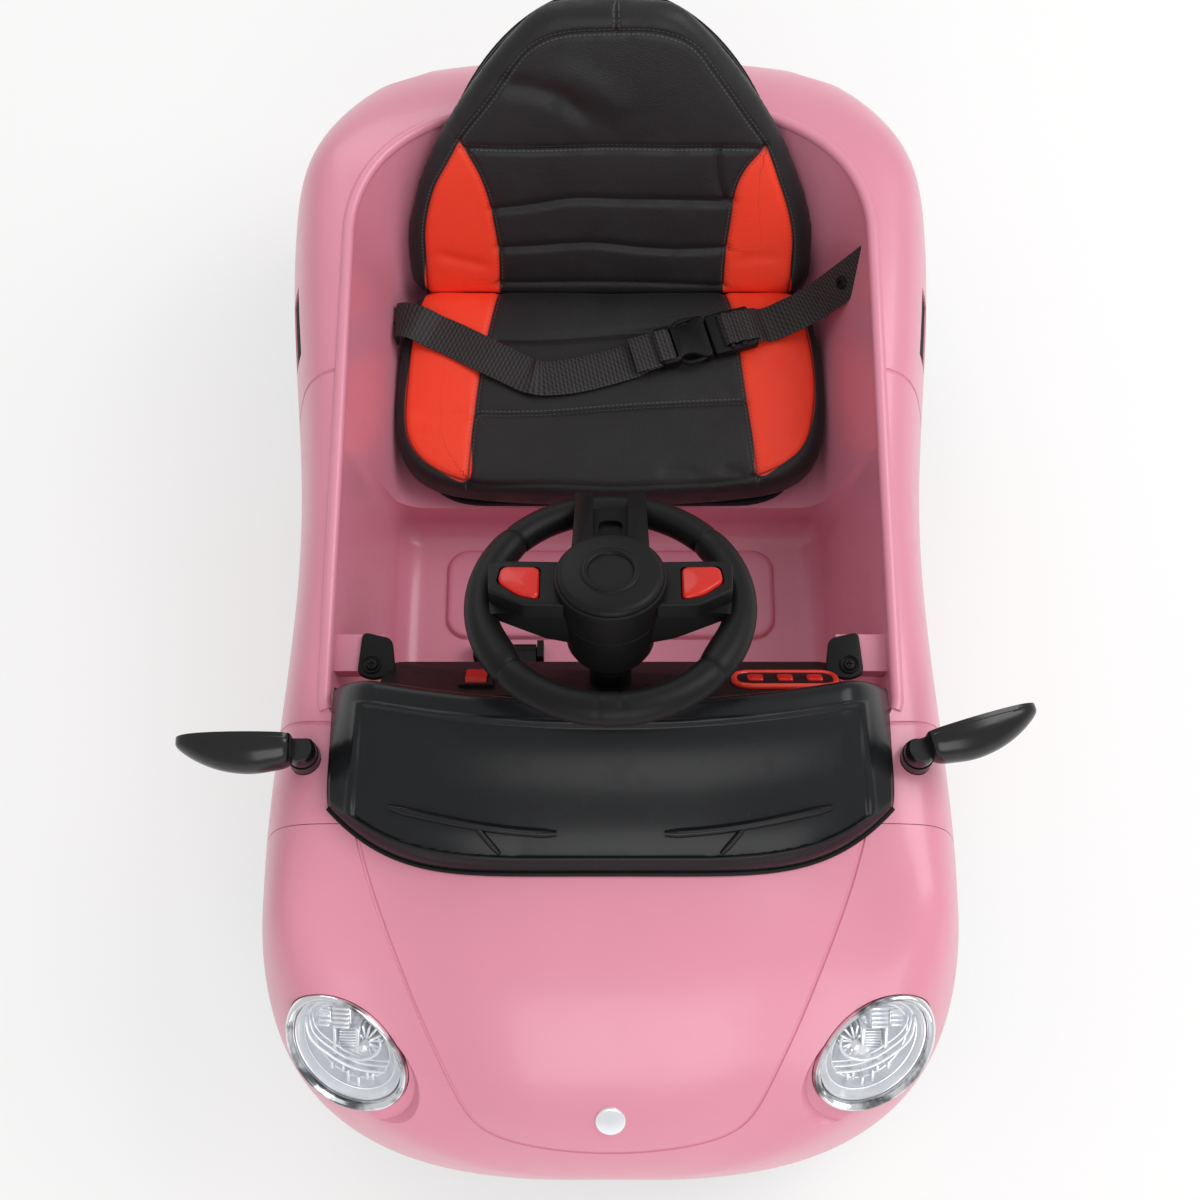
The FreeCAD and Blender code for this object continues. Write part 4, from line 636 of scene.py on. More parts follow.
def crown(y, inset):
    nose, tail = -BODY_LONG / 2 + inset, BODY_LONG / 2 - inset
    cowl, deck = nose + NOSE_DEEP, tail - TAIL_DEEP
    if y < cowl:
        return NOSE_TIP + (HOOD_TOP - inset - NOSE_TIP) * rise((y - nose) / NOSE_DEEP, 1.9)
    if y > deck:
        return TAIL_TIP + (DECK_TOP - inset - TAIL_TIP) * rise((tail - y) / TAIL_DEEP, 2.6)
    if y < 0:
        return HOOD_TOP - inset + (WAIST_TOP - HOOD_TOP) * ease((y - cowl) / -cowl)
    return WAIST_TOP - inset + (DECK_TOP - WAIST_TOP) * ease(y / deck)


def belly(y, inset):
    gap = min(y + BODY_LONG / 2, BODY_LONG / 2 - y) - inset
    tip = NOSE_TIP if y < 0 else TAIL_TIP
    return tip - (tip - SILL) * rise(gap / 45, 2.2)


def section(y, inset=0.0, drop=0.0, count=120):
    """The body's outline across the car, from the right sill over the top to the left sill."""
    width, low, top = half_width(y, inset), belly(y, inset), crown(y, inset)
    tall = top - low
    nose = -BODY_LONG / 2
    soft = max(1 - ease((y - nose - 60) / 150), ease((y - BODY_LONG / 2 + 190) / 130))
    scale = width / FRONT_HALF
    groove = FENDER_DIP * ease((y - nose) / 60) * (1 - ease((y - nose - 200) / 70))
    half = [
        (width - (SILL_TUCK + drop / 4) * scale, low - drop),
        (width - 0.3 * SILL_TUCK * scale, low + 0.2 * tall),
        (width, low + 0.46 * tall),
        (width * mix(0.955, 0.93, soft), low + mix(0.79, 0.72, soft) * tall),
        (width * mix(0.875, 0.815, soft), low + mix(0.945, 0.885, soft) * tall),
        (width * mix(0.72, 0.64, soft), low + mix(0.977, 0.945, soft) * tall - groove),
        (width * 0.36, low + 0.985 * tall),
    ]
    flat = spline(half + [(0.0, top)] + [(-x, z) for x, z in reversed(half)], count)
    return np.column_stack([flat[:, 0], np.full(count, y), flat[:, 1]])


def stations(inset, ends, middle):
    nose, tail = -BODY_LONG / 2 + inset, BODY_LONG / 2 - inset
    shares = 0.0015 + 0.9985 * np.linspace(0, 1, ends) ** 2.1
    rows = list(nose + shares * NOSE_DEEP)
    rows += list(np.linspace(nose + NOSE_DEEP, tail - TAIL_DEEP, middle)[1:-1])
    return rows + list(tail - shares[::-1] * TAIL_DEEP)


def body_form(name, inset, drop, ends, middle, count):
    rings = [section(y, inset, drop, count) for y in stations(inset, ends, middle)]
    return solid(name, *loft(rings))


def top_height(x, y):
    """Height of the outer skin above a point of the plan."""
    outline = section(y, count=240)
    upper = outline[60:180]
    return float(np.interp(x, upper[::-1, 0], upper[::-1, 2]))


print("skin over the hood", round(top_height(0, -300), 1), "over the fender", round(top_height(230, -300), 1))

# %% [markdown]
# ## The cabin's hollow
# The driver sits in a deep tub: a footwell, a seat well behind it and sloping walls. Each well is a stack
# of rounded rectangles; its lowest rings draw in along a quarter circle, which leaves a moulded fillet.

# %% Cabin wells
RIM_HALF, RIM_UP, RIM_AHEAD, RIM_REAR = 232.0, 340.0, 190.0, 402.0
FLOOR_UP, FLOOR_HALF, TOE_AHEAD = 112.0, 200.0, 140.0
SEAT_UP, SEAT_WELL_HALF, SEAT_WELL_FRONT, SEAT_WELL_REAR = 165.0, 196.0, 80.0, 312.0
TUB_TOP = 430.0


def rounded(half, front, rear, front_radius, rear_radius, z, corner=14, run=14):
    """A rounded rectangle with its sides along Y."""
    spots = []
    corners = (
        (half - front_radius, front + front_radius, front_radius, -90),
        (half - rear_radius, rear - rear_radius, rear_radius, 0),
        (rear_radius - half, rear - rear_radius, rear_radius, 90),
        (front_radius - half, front + front_radius, front_radius, 180),
    )
    for x, y, radius, start in corners:
        for step in range(corner + 1):
            angle = math.radians(start + 90 * step / corner)
            spots.append((x + radius * math.cos(angle), y + radius * math.sin(angle), z))
    filled = []
    for index, spot in enumerate(spots):
        filled.append(spot)
        if index % (corner + 1) == corner:
            after = spots[(index + 1) % len(spots)]
            shares = np.arange(1, run) / run
            filled += [tuple(np.array(spot) * (1 - s) + np.array(after) * s) for s in shares]
    return filled


def well(name, low, grow, outline, fillet):
    """A hollow by its outline at a height, with a rounded foot."""
    foot = low - grow
    turns = np.linspace(0, math.pi / 2, 9)
    heights = [foot + fillet * (1 - math.cos(a)) for a in turns]
    insets = [fillet * (1 - math.sin(a)) for a in turns]
    for z in np.linspace(foot + fillet, TUB_TOP, 16)[1:]:
        heights.append(z)
        insets.append(0.0)
    rings = []
    for z, inset in zip(heights, insets):
        half, front, rear, front_radius, rear_radius = outline(z)
        edge = grow - inset
        radii = [max(radius - inset * 0.8, 5.0) for radius in (front_radius, rear_radius)]
        rings.append(rounded(half + edge, front - edge, rear + edge, *radii, z))
    return solid(name, *loft(rings))


def up_share(z, low):
    return (z - low) / (RIM_UP - low)


def foot_outline(z):
    share = up_share(z, FLOOR_UP)
    return mix(FLOOR_HALF, RIM_HALF, share), -mix(TOE_AHEAD, RIM_AHEAD, share), SEAT_WELL_FRONT, 34.0, 17.0


def seat_outline(z):
    share = up_share(z, SEAT_UP)
    rear = mix(SEAT_WELL_REAR, RIM_REAR, share)
    return mix(SEAT_WELL_HALF, RIM_HALF, share), SEAT_WELL_FRONT - 60, rear, 17.0, mix(40.0, 132.0, share)


def cabin(name, grow, fillet):
    hollow = well(name, FLOOR_UP, grow, foot_outline, fillet)
    carve(hollow, well(name + "_seat", SEAT_UP, grow, seat_outline, fillet), "UNION")
    return hollow


print("footwell at the floor", foot_outline(FLOOR_UP)[:3])

# %% [markdown]
# ## Moulded lines
# The hood's outline and the doors are only lines in the moulding. A thin bar laid along the skin is cut
# out of it, which leaves a real groove that catches the light.

# %% Groove bars
GROOVE = 1.7
HOOD_LINE = (
    (205, -258), (193, -300), (180, -336), (164, -375), (147, -414), (131, -447), (120, -468),
    (108, -484), (94, -493), (72, -500), (40, -505), (0, -507),
)  # fmt: skip
DOOR_FRONT, DOOR_REAR, DOOR_LOW = -176.0, 122.0, 104.0
SHOULDER = 250.0


def skin_path(plan, count):
    """A smooth line over the skin through points of the plan."""
    flat = spline(plan, count)
    return [(x, y, top_height(x, y)) for x, y in flat]


def side_path(y_top, y_low, side, inner):
    """Down the body's side from the cabin's edge to the sill."""
    path = []
    for share in np.linspace(0, 1, 60):
        y = mix(y_top, y_low, share)
        outline = section(y, count=400)
        half = outline[:200] if side > 0 else outline[200:][::-1]
        below = half[:, 2] < SHOULDER
        first = int(np.argmin(np.where(below, 999, 0) + np.abs(np.abs(half[:, 0]) - inner)))
        last = int(np.argmin(np.abs(half[:120, 2] - DOOR_LOW)))
        path.append(half[int(round(mix(first, last, share)))])
    return path


def groove_bars():
    right_half = [(-x, y) for x, y in HOOD_LINE]
    hood = skin_path(list(HOOD_LINE) + right_half[-2::-1], 260)
    bars = [tube(hood, GROOVE, 10)]
    for side in (1, -1):
        front = side_path(DOOR_FRONT - 4, DOOR_FRONT + 16, side, 222)
        rear = side_path(DOOR_REAR + 16, DOOR_REAR - 26, side, 232)
        low = []
        for y in np.linspace(DOOR_FRONT + 16, DOOR_REAR - 26, 40):
            outline = section(y, count=400)
            half = outline[:120] if side > 0 else outline[280:][::-1]
            low.append(half[int(np.argmin(np.abs(half[:, 2] - DOOR_LOW)))])
        bars += [tube(path, GROOVE, 10) for path in (front, rear, low)]
    return bars


print("hood line of", len(HOOD_LINE), "points a side")

# %% [markdown]
# ## The two pink shells
# A shell could be thickened from a sheet, but then the tub and arches would not meet it cleanly. Here the
# solid form is hollowed, opened for cabin, arches and lamps, grooved, and parted where the real car's
# front and main mouldings meet.

# %% Cutting tools
def box_form(name, low, high):
    corners = [(low[0], low[1]), (high[0], low[1]), (high[0], high[1]), (low[0], high[1])]
    return solid(name, *loft([[(x, y, z) for x, y in corners] for z in (low[2], high[2])]))


def bar_form(name, start, end, radius, sides=72):
    return solid(name, *tube([start, end], radius, sides))


LAMP_AT = Vector((209.3, -433.8, 272.5))
LAMP_AXES = ((0.66, 0.646, 0.384), (-0.746, 0.504, 0.435), (0.088, -0.574, 0.814))
LAMP_LONG, LAMP_SHORT = 1.03, 0.7125  # the oval's two axes, as shares of a round lamp's
LAMP_BOW = (-3.8 / 57.6**2, 2.0 / 39.9**2)  # how it bends along and across, from its middle
TAIL_AT = Vector((196.0, 478.0, 268.0))
TAIL_WAY = Vector((0.42, 0.72, 0.5)).normalized()
MIRROR_OUT, MIRROR_Y = 246, -208
VENT_LOW, VENT_TOP = 258.0, 300.0
FRONT_AXLE, REAR_AXLE, AXLE_UP = -300.0, 312.0, 95.0
ARCH, STEERED_ARCH, LINER_WALL = 116.0, 130.0, 4.5
WELL_WALL = 3.5
WELL_WALLS = (  # how far out each stands, its front, its back, its foot and its top
    (160, -520, -150, 158, 345), (160, -520, -345, 62, 160), (160, -235, -150, 62, 160),
    (206, 180, 500, 146, 345), (206, 180, 262, 62, 148), (206, 362, 500, 62, 148),
)  # fmt: skip


def on_side(vector, side):
    return Vector((side * vector[0], vector[1], vector[2]))


def along(start, way, distance):
    return tuple(Vector(start) + Vector(way) * distance)


def lamp_place(side):
    """A headlight's own frame: its long way, its short way and the way that it faces."""
    axes = Matrix([Vector(axis).normalized() for axis in LAMP_AXES]).transposed().to_4x4()
    return Matrix.Diagonal((side, 1, 1, 1)) @ Matrix.Translation(LAMP_AT) @ axes


def bowed(points):
    """Bends a lamp piece so that its edge lies along the fender."""
    bent = np.array(points, float)
    bent[:, 2] += LAMP_BOW[0] * bent[:, 0] ** 2 + LAMP_BOW[1] * bent[:, 1] ** 2
    return bent


def lamp_oval(shape, aside=0.0, up=0.0):
    """Draws a round shape out to the headlight's oval and bows it."""
    points, faces = shape
    return bowed(np.asarray(points) * (LAMP_LONG, LAMP_SHORT, 1) + (aside, up, 0)), faces


def oval_bar(name, side, low, high, radii, aside=0.0, up=0.0):
    bar = tube([(0, 0, low), (0, 0, high)], radii, 96)
    return solid(name, *on(lamp_place(side), lamp_oval(bar, aside, up)))


def arch_bar(name, side, y, inner, outer, radius):
    return bar_form(name, (side * inner, y, AXLE_UP), (side * outer, y, AXLE_UP), radius, sides=96)


def shell_openings():
    """Wheel arches, lamp seats with a recess ahead of them, mirror holes and vent slots."""
    tools = []
    for side in (1, -1):
        for y in (FRONT_AXLE, REAR_AXLE):
            tools.append(arch_bar("arch", side, y, 214, 354, ARCH))
        tools.append(oval_bar("lamp_seat", side, -38, 80, (56.5, 56.5)))
        tools.append(oval_bar("lamp_recess", side, -2.4, 40, (57, 90), -10, -4))
        tail, back = on_side(TAIL_AT, side), on_side(TAIL_WAY, side)
        tools.append(bar_form("tail_seat", along(tail, back, -40), along(tail, back, 50), 29.4))
        tools.append(bar_form("mirror_seat", *[(side * MIRROR_OUT, MIRROR_Y, z) for z in (276, 356)], 13.4))
        tools.append(box_form("vent", (side * 302 - 30, 172, VENT_LOW), (side * 302 + 30, 240, VENT_TOP)))
    return tools


print("headlights face", LAMP_AXES[2], "and tail lamps", [round(v, 2) for v in TAIL_WAY])

# %% Body shells
SPLIT, SEAM_GAP = -262.0, 0.6
FILLET = 22.0
shell = body_form("front_shell", inset=0.0, drop=0.0, ends=46, middle=70, count=132)
hollow = body_form("hollow", inset=WALL, drop=14.0, ends=22, middle=24, count=72)
carve(hollow, cabin("tub_outside", WALL, FILLET + WALL))
for side in (1, -1):
    carve(hollow, oval_bar("lamp_block", side, -44, 60, (84, 84)))
    carve(hollow, arch_bar("rear_liner", side, REAR_AXLE, 216, 310, ARCH + LINER_WALL))
    front_liner = arch_bar("front_liner", side, FRONT_AXLE, 206, 310, STEERED_ARCH + LINER_WALL)
    carve(front_liner, arch_bar("front_room", side, FRONT_AXLE, 190, 330, STEERED_ARCH))
    carve(hollow, front_liner)
    for near, front, back, low, high in WELL_WALLS:
        inner, outer = sorted((side * near, side * (near + WELL_WALL)))
        carve(hollow, box_form("well_wall", (inner, front, low), (outer, back, high)))
carve(shell, hollow)
carve(shell, cabin("tub_inside", 0.0, FILLET))
for tool in shell_openings():
    carve(shell, tool)
for bar in groove_bars():
    carve(shell, solid("groove", *bar))
main_shell = shell.copy()
main_shell.data = shell.data.copy()
main_shell.name = "main_shell"
bpy.context.scene.collection.objects.link(main_shell)
carve(shell, box_form("behind", (-400, SPLIT, -50), (400, 700, 500)))
carve(main_shell, box_form("ahead", (-400, -700, -50), (400, SPLIT + SEAM_GAP, 500)))
for side in (1, -1):
    x = side * 208.5
    carve(main_shell, box_form("boss", (x - 21, -130, 300), (x + 21, -98, 316)), "UNION")
dress(shell, body_pink, "car_body", "body_pink", "front_body_shell")
dress(main_shell, body_pink, "car_body", "body_pink", "main_body_shell")

# %% [markdown]
# ## The cabin's rolled rim
# The moulding rolls over at the cabin's edge. A round bead follows the line where the tub meets the skin,
# which turns the knife edge of the boolean into the soft lip that the real shell has.

# %% Cabin rim and floor panel
BEAD, RIM_SINK, RIM_START = 5.6, 3.2, -168.0


def rim_path():
    outline = rounded(RIM_HALF + 1.5, -RIM_AHEAD, RIM_REAR + 1.5, 34.0, 132.0, 0.0, 48, 60)
    return [(x, y, top_height(x, y) - RIM_SINK) for x, y, _ in outline if y > RIM_START]


def raised_panel(half, front, rear, low, high):
    """A low plateau with drafted sides and a rounded upper edge."""
    steps = ((0.0, 0.0), (0.7, 0.35), (1.0, 0.75), (1.6, 0.95), (3.0, 1.0))
    rings = []
    for inset, up in steps:
        edge = 2.5 * inset
        rings.append(rounded(half - edge, front + edge, rear - edge, 22 - edge, 22 - edge, mix(low, high, up)))
    return loft(rings)


rim = solid("cabin_rim", *tube(rim_path(), BEAD, 16))
dress(rim, body_pink, "car_body", "body_pink")
floor_panel = solid("floor_panel", *raised_panel(half=158, front=-34, rear=58, low=111.6, high=116.5))
dress(floor_panel, body_pink, "car_body", "body_pink")
print("rim from", [round(v) for v in rim_path()[0]], "to", [round(v) for v in rim_path()[-1]])

# %% [markdown]
# ## Windscreen cover
# A black moulding stands for the windscreen: a raised frame round a sunken panel and a rolled lip towards
# the driver. Sections across it follow one smooth profile, and the panel is let in by lowering the points
# that lie inside its border.

# %% Skin table
def skin_table():
    rows = np.arange(-522.0, 522.0, 3.0)
    spots = np.arange(0.0, 304.0, 2.0)
    table = []
    for y in rows:
        upper = section(y, count=240)[60:121]
        table.append(np.interp(spots, upper[::-1, 0], upper[::-1, 2], right=upper[0, 2]))
    return rows, spots, np.array(table)


SKIN_ROWS, SKIN_SPOTS, SKIN = skin_table()


def skin_over(x, y):
    """The skin's height above many points of the plan, read from a table."""
    row = np.clip((np.asarray(y) - SKIN_ROWS[0]) / 3.0, 0, len(SKIN_ROWS) - 1.001)
    spot = np.clip(np.abs(np.asarray(x)) / 2.0, 0, len(SKIN_SPOTS) - 1.001)
    i, j = row.astype(int), spot.astype(int)
    a, b = row - i, spot - j
    low = SKIN[i, j] * (1 - b) + SKIN[i, j + 1] * b
    high = SKIN[i + 1, j] * (1 - b) + SKIN[i + 1, j + 1] * b
    return low * (1 - a) + high * a


print("skin table", SKIN.shape)

# %% Cover
COVER_HALF, COVER_FRONT, COVER_REAR, COVER_TOP = 225.0, -303.0, -180.0, 398.0
PANEL_SINK, PANEL_EDGE, PANEL_BEAD, COVER_WALL = 3.0, 2.0, 1.4, 3.0


def smooth(share):
    share = np.clip(share, 0.0, 1.0)
    return share * share * (3 - 2 * share)


def cover_edges(x):
    away = min(abs(x) / COVER_HALF, 1.0)
    front = COVER_FRONT + 54 * away**4.6
    rear = COVER_REAR + 27 * away**2
    top = COVER_TOP - 9 * away**2 - 50 * max(0.0, (away - 0.8) / 0.2) ** 2
    return front, rear, top


def cover_profile(x, count=180):
    """The cover's outside from its foot on the hood to the end of its lip."""
    front, rear, top = cover_edges(x)
    foot = float(skin_over(x, np.array(front))) + 0.5
    base = max(foot + 5, min(HOOD_TOP + 4, top - 6))
    middle = ((front + rear) / 2 - 4, mix(base, top, 0.56) + 4)
    knots = [(front, foot), (front + 2, base), middle, (rear - 9, top - 0.4)]
    knots += [(rear - 2, top - 2.4), (rear + 2.2, top - 8.5), (rear + 3, top - 18)]
    return spline(knots, count)


def cover_ring(x):
    front, rear, _ = cover_edges(x)
    line = cover_profile(x)
    y, z = line[:, 0], line[:, 1]
    side = 0.5 * (197 - 0.1 * (y + 185) - abs(x))
    within = np.minimum(np.minimum(rear - 20 - y, y - front - 9), side)
    z = z - PANEL_SINK * smooth(within / PANEL_EDGE) + PANEL_BEAD * np.exp(-(((within + 1.4) / 1.3) ** 2))
    slope = np.gradient(line, axis=0)
    slope /= np.linalg.norm(slope, axis=1)[:, None] + 1e-9
    under = np.column_stack([y + slope[:, 1] * COVER_WALL, z - slope[:, 0] * COVER_WALL])
    z = np.maximum(z, skin_over(np.full_like(y, x), y) + 0.5)
    floor_z = skin_over(np.full_like(y, x), under[:, 0]) + 0.35
    under[:, 1] = np.minimum(np.maximum(under[:, 1], floor_z), z - 0.1)
    ring = np.concatenate([np.column_stack([y, z]), under[::-1]])
    return np.column_stack([np.full(len(ring), x), ring])


bends = np.sin(np.linspace(-math.pi / 2, math.pi / 2, 241))
cover = solid("windscreen_cover", *loft([cover_ring(COVER_HALF * b) for b in bends]))
dress(cover, cover_black, "car_body", "trim_black", "windscreen_cover", angle=math.radians(50))

# %% [markdown]
# ## Wipers and gasket
# The two wipers are ridges of the moulding. Low bars laid over the panel's own surface keep them part of it,
# where loose bars would float. A dark bead closes the gap below the cover.

# %% Wipers and gasket
WIPER_BLADE = ((-173, -256), (-130, -266), (-88, -273), (-42, -277))
WIPER_ARM = ((-105, -271), (-96, -281), (-86, -291))


def cover_height(x, y):
    line = cover_profile(x)
    upper = line[:147]
    return float(np.interp(y, upper[:, 0], upper[:, 1])) - PANEL_SINK


def flat_bar(path, half, tall):
    """A low bar with a rounded back along a path over the cover."""
    path = np.asarray(path, float)
    way = np.gradient(path, axis=0)
    way /= np.linalg.norm(way, axis=1)[:, None]
    aside = np.column_stack([-way[:, 1], way[:, 0], np.zeros(len(path))])
    rings = []
    for index, (spot, out) in enumerate(zip(path, aside)):
        end = min(index, len(path) - 1 - index) / 3
        size = half * (0.55 + 0.45 * min(1.0, end))
        ring = []
        for a in np.linspace(0, math.pi, 9):
            ring.append(spot + out * size * math.cos(a) + np.array([0, 0, tall * math.sin(a)]))
        ring += [spot - out * size + np.array([0, 0, -1.5]), spot + out * size + np.array([0, 0, -1.5])]
        rings.append(ring)
    return loft(rings)


def over_cover(plan, count, side, lift=0.0):
    return [(side * x, y, cover_height(x, y) + lift) for x, y in spline(plan, count)]


bars = []
for side in (1, -1):
    bars.append(flat_bar(over_cover(WIPER_BLADE, 40, side), 3.6, 4.2))
    bars.append(flat_bar(over_cover(WIPER_BLADE, 40, side, 3.2)[3:-3], 1.6, 2.2))
    bars.append(flat_bar(over_cover(WIPER_ARM, 14, side), 2.6, 3.6))
wipers = solid("moulded_wipers", *together(*bars))
dress(wipers, cover_black, "car_body", "trim_black")
edge_path = []
for x in COVER_HALF * np.sin(np.linspace(-math.pi / 2, math.pi / 2, 121)):
    y = cover_edges(x)[0] - 0.6
    edge_path.append((x, y, float(skin_over(x, np.array(y))) + 1.4))
gasket = solid("cover_gasket", *tube(edge_path, 2.0, 10))
dress(gasket, satin_black, "car_body", "trim_black")

# %% [markdown]
# ## Dash, switch and control panel
# Under the lip a sloping board carries the power switch and a small panel of keys, held by two ears. The
# board is a thin plate with its openings cut out and its edges softened.

# %% Dash
DASH_TOP, DASH_FOOT = (0.0, -172.0, 372.0), (0.0, -120.0, 298.0)
DASH_LONG = math.dist(DASH_TOP, DASH_FOOT)
SWITCH_AT, PANEL_AT = (-108.0, 36.0), (141.0, 36.0)
COLUMN_TILT = 20.0
dash_slope = math.degrees(math.atan2(DASH_TOP[2] - DASH_FOOT[2], DASH_FOOT[1] - DASH_TOP[1]))
dash_place = placed(DASH_TOP, -dash_slope)


def frame_box(x, down, wide, long):
    left, right, near, far = x - wide / 2, x + wide / 2, down - long / 2, down + long / 2
    return [(left, near), (right, near), (right, far), (left, far)]


board = [(-190, 0), (190, 0), (182, DASH_LONG), (-182, DASH_LONG)]
dash = solid("dash_board", *on(dash_place, slab(eased(board, 9), 0, 4, 1.2)))
for spot, wide, long in ((SWITCH_AT, 18, 25), (PANEL_AT, 64, 20)):
    carve(dash, solid("dash_hole", *on(dash_place, slab(frame_box(*spot, wide, long), -3, 9))))
tilt = math.radians(COLUMN_TILT)
column_way = Vector((0.0, math.sin(tilt), math.cos(tilt)))
wheel_middle = Vector((0.0, -113.0, 430.0))
hole_ends = [along(wheel_middle, column_way, far) for far in (-160, -40)]
carve(dash, bar_form("column_hole", *hole_ends, 17.4))
dress(dash, satin_black, "car_body", "satin_black", "dash_panel")
EAR_LINE = ((206, -97), (181, -103), (177, -134), (196, -139), (209, -134))
EAR_SCREW_OUT, EAR_SCREW_Y = 197.0, -126.0
for side in (1, -1):
    flap = slab(eased([(side * x, y) for x, y in EAR_LINE], 6), 316.2, 321.0, 1.6)
    cup = spun([(3.2, 320.6), (8.2, 320.6), (8.2, 322.2), (7.2, 322.8), (5.6, 321.4), (3.2, 321.2)], 40)
    cup = (cup[0] + np.array([side * EAR_SCREW_OUT, EAR_SCREW_Y, 0.0]), cup[1])
    ear = solid("dash_ear_left" if side > 0 else "dash_ear_right", *together(flap, cup))
    dress(ear, satin_black, "car_body", "satin_black")

# %% [markdown]
# ## Control panel
# Three red keys sit in a black face inside an orange hoop. A bevelled plate would lose the hoop's round
# section, so a round bar is swept along the outline. The keys are pieces of their own, because they press.

# %% Control panel
def loop_bar(outline, radius, z, sides=10):
    """A round bar along a closed outline."""
    outline = np.asarray(outline, float)
    rings = []
    for index, spot in enumerate(outline):
        ahead = outline[(index + 1) % len(outline)] - outline[index - 1]
        ahead /= np.linalg.norm(ahead)
        out = np.array([ahead[1], -ahead[0]])
        ring = []
        for angle in np.linspace(0, 2 * math.pi, sides, endpoint=False):
            flat = spot + out * radius * math.cos(angle)
            ring.append((flat[0], flat[1], z + radius * math.sin(angle)))
        rings.append(ring)
    return hoop(rings)


def panel_line(wide, long, corner):
    """The control panel's outline, an oblong with round corners."""
    x, y = PANEL_AT
    left, right, far, near = x - wide / 2, x + wide / 2, y + long / 2, y - long / 2
    return eased([(left, far), (left, near), (right, near), (right, far)], corner, 10)


frame_line = panel_line(82, 36, 15)
panel_frame = solid("control_panel_frame", *on(dash_place, loop_bar(frame_line, 2.7, 5.4)))
dress(panel_frame, frame_orange, "car_body", "accent_orange", "control_panel_frame")
face = solid("control_panel_face", *on(dash_place, slab(panel_line(78, 32, 13), 4.2, 6.6, 0.8)))
for x in (-24, 0, 24):
    gap = slab(frame_box(PANEL_AT[0] + x, PANEL_AT[1], 14, 14), -3, 12)
    carve(face, solid("key_gap", *on(dash_place, gap)))
dress(face, satin_black, "car_body", "trim_black", "control_panel_face")
for name, x in (("left", 24), ("middle", 0), ("right", -24)):
    square = eased(frame_box(PANEL_AT[0] + x, PANEL_AT[1], 13, 13), 3)
    key = solid("panel_key_" + name, *on(dash_place, slab(square, 2.5, 8.4, 1.4, 0.4)))
    dress(key, button_red, "panel_key_" + name, "button_red", "panel_button_" + name)

# %% [markdown]
# ## Steering wheel
# A thick moulded wheel on a deep hub. The rim is a ring whose tube swells between shallow section lines;
# two side bars hold the red keys, and a forked bar with an arched recess points at the driver. All of it
# is drawn flat and then tilted onto the column.

# %% Steering wheel
column_place = placed(wheel_middle, -COLUMN_TILT)
RIM_RADIUS, RIM_TUBE = 100.0, 13.0
RIM_LINES = (41, 139, 220, 265.5, 274.5, 320)
WIDE_GRIPS = ((139, 220), (220, 320), (320, 401))
THUMB_RESTS = (208, 332)


def steering_rim(turns=288, sides=28):
    rings = []
    for step in range(turns):
        degrees = 360 * step / turns
        size = RIM_TUBE - 0.7
        for low, high in WIDE_GRIPS:
            within = min((degrees - low) % 360, (high - degrees) % 360)
            if (degrees - low) % 360 < (high - low):
                size += 0.7 * ease(within / 6)
        swell = sum(math.exp(-((((degrees - rest + 180) % 360 - 180) / 13) ** 2)) for rest in THUMB_RESTS)
        for line in RIM_LINES:
            off = abs((degrees - line + 180) % 360 - 180) * math.pi / 180 * RIM_RADIUS
            size -= 1.1 * math.exp(-((off / 1.1) ** 2))
        angle = math.radians(degrees)
        ring = []
        for turn in np.linspace(0, 2 * math.pi, sides, endpoint=False):
            reach = RIM_RADIUS + (size + 3.2 * swell * (turn > math.pi / 2) * (turn < 1.5 * math.pi)) * math.cos(turn)
            ring.append((reach * math.cos(angle), reach * math.sin(angle), size * math.sin(turn)))
        rings.append(ring)
    return hoop(rings)


HUB_PROFILE = (
    (7, -46), (29, -46), (32.5, -44.4), (34.5, -40), (37.6, -3.4), (37, -2.8), (37, -1.6), (38.4, -1.0),
    (41.2, 24.6), (40.6, 25.2), (40.6, 26.2), (42.4, 26.8), (43, 30), (42.6, 33), (41.5, 34.2), (7, 34.2),
)  # fmt: skip
KEY_LINE = ((54, -16.5), (70.5, -12.5), (86.5, 0.5), (84, 16), (54, 15.5))
BEZEL_LINE = ((34, -22), (68, -21), (93, -7), (94, 21), (84, 23), (34, 22))
WING_ROWS = ((30, -28, 13), (50, -22, 13), (70, -10, 12.5), (88, 1, 12), (96, 4, 10))  # reach, foot, top


def key_outline(side, grow):
    """A wheel key's five corners, moved out from its middle."""
    middle = np.mean(KEY_LINE, axis=0)
    spots = []
    for spot in np.array(KEY_LINE, float):
        out = spot - middle
        spots.append(spot + out / np.linalg.norm(out) * grow)
    return [(side * x, y) for x, y in spots]


def side_bar(side):
    """A button bar: a deep keel below, a flat bezel above."""
    rings = []
    for x, low, high in WING_ROWS:
        line = ((-17, low + 2), (-18.5, high), (14, high), (9, low + 2), (6, low), (-14, low))
        rings.append([(side * x, y, z) for y, z in line])
    return loft(rings), slab(eased([(side * x, y) for x, y in BEZEL_LINE], 4), 11.0, 26.0, 2.4)


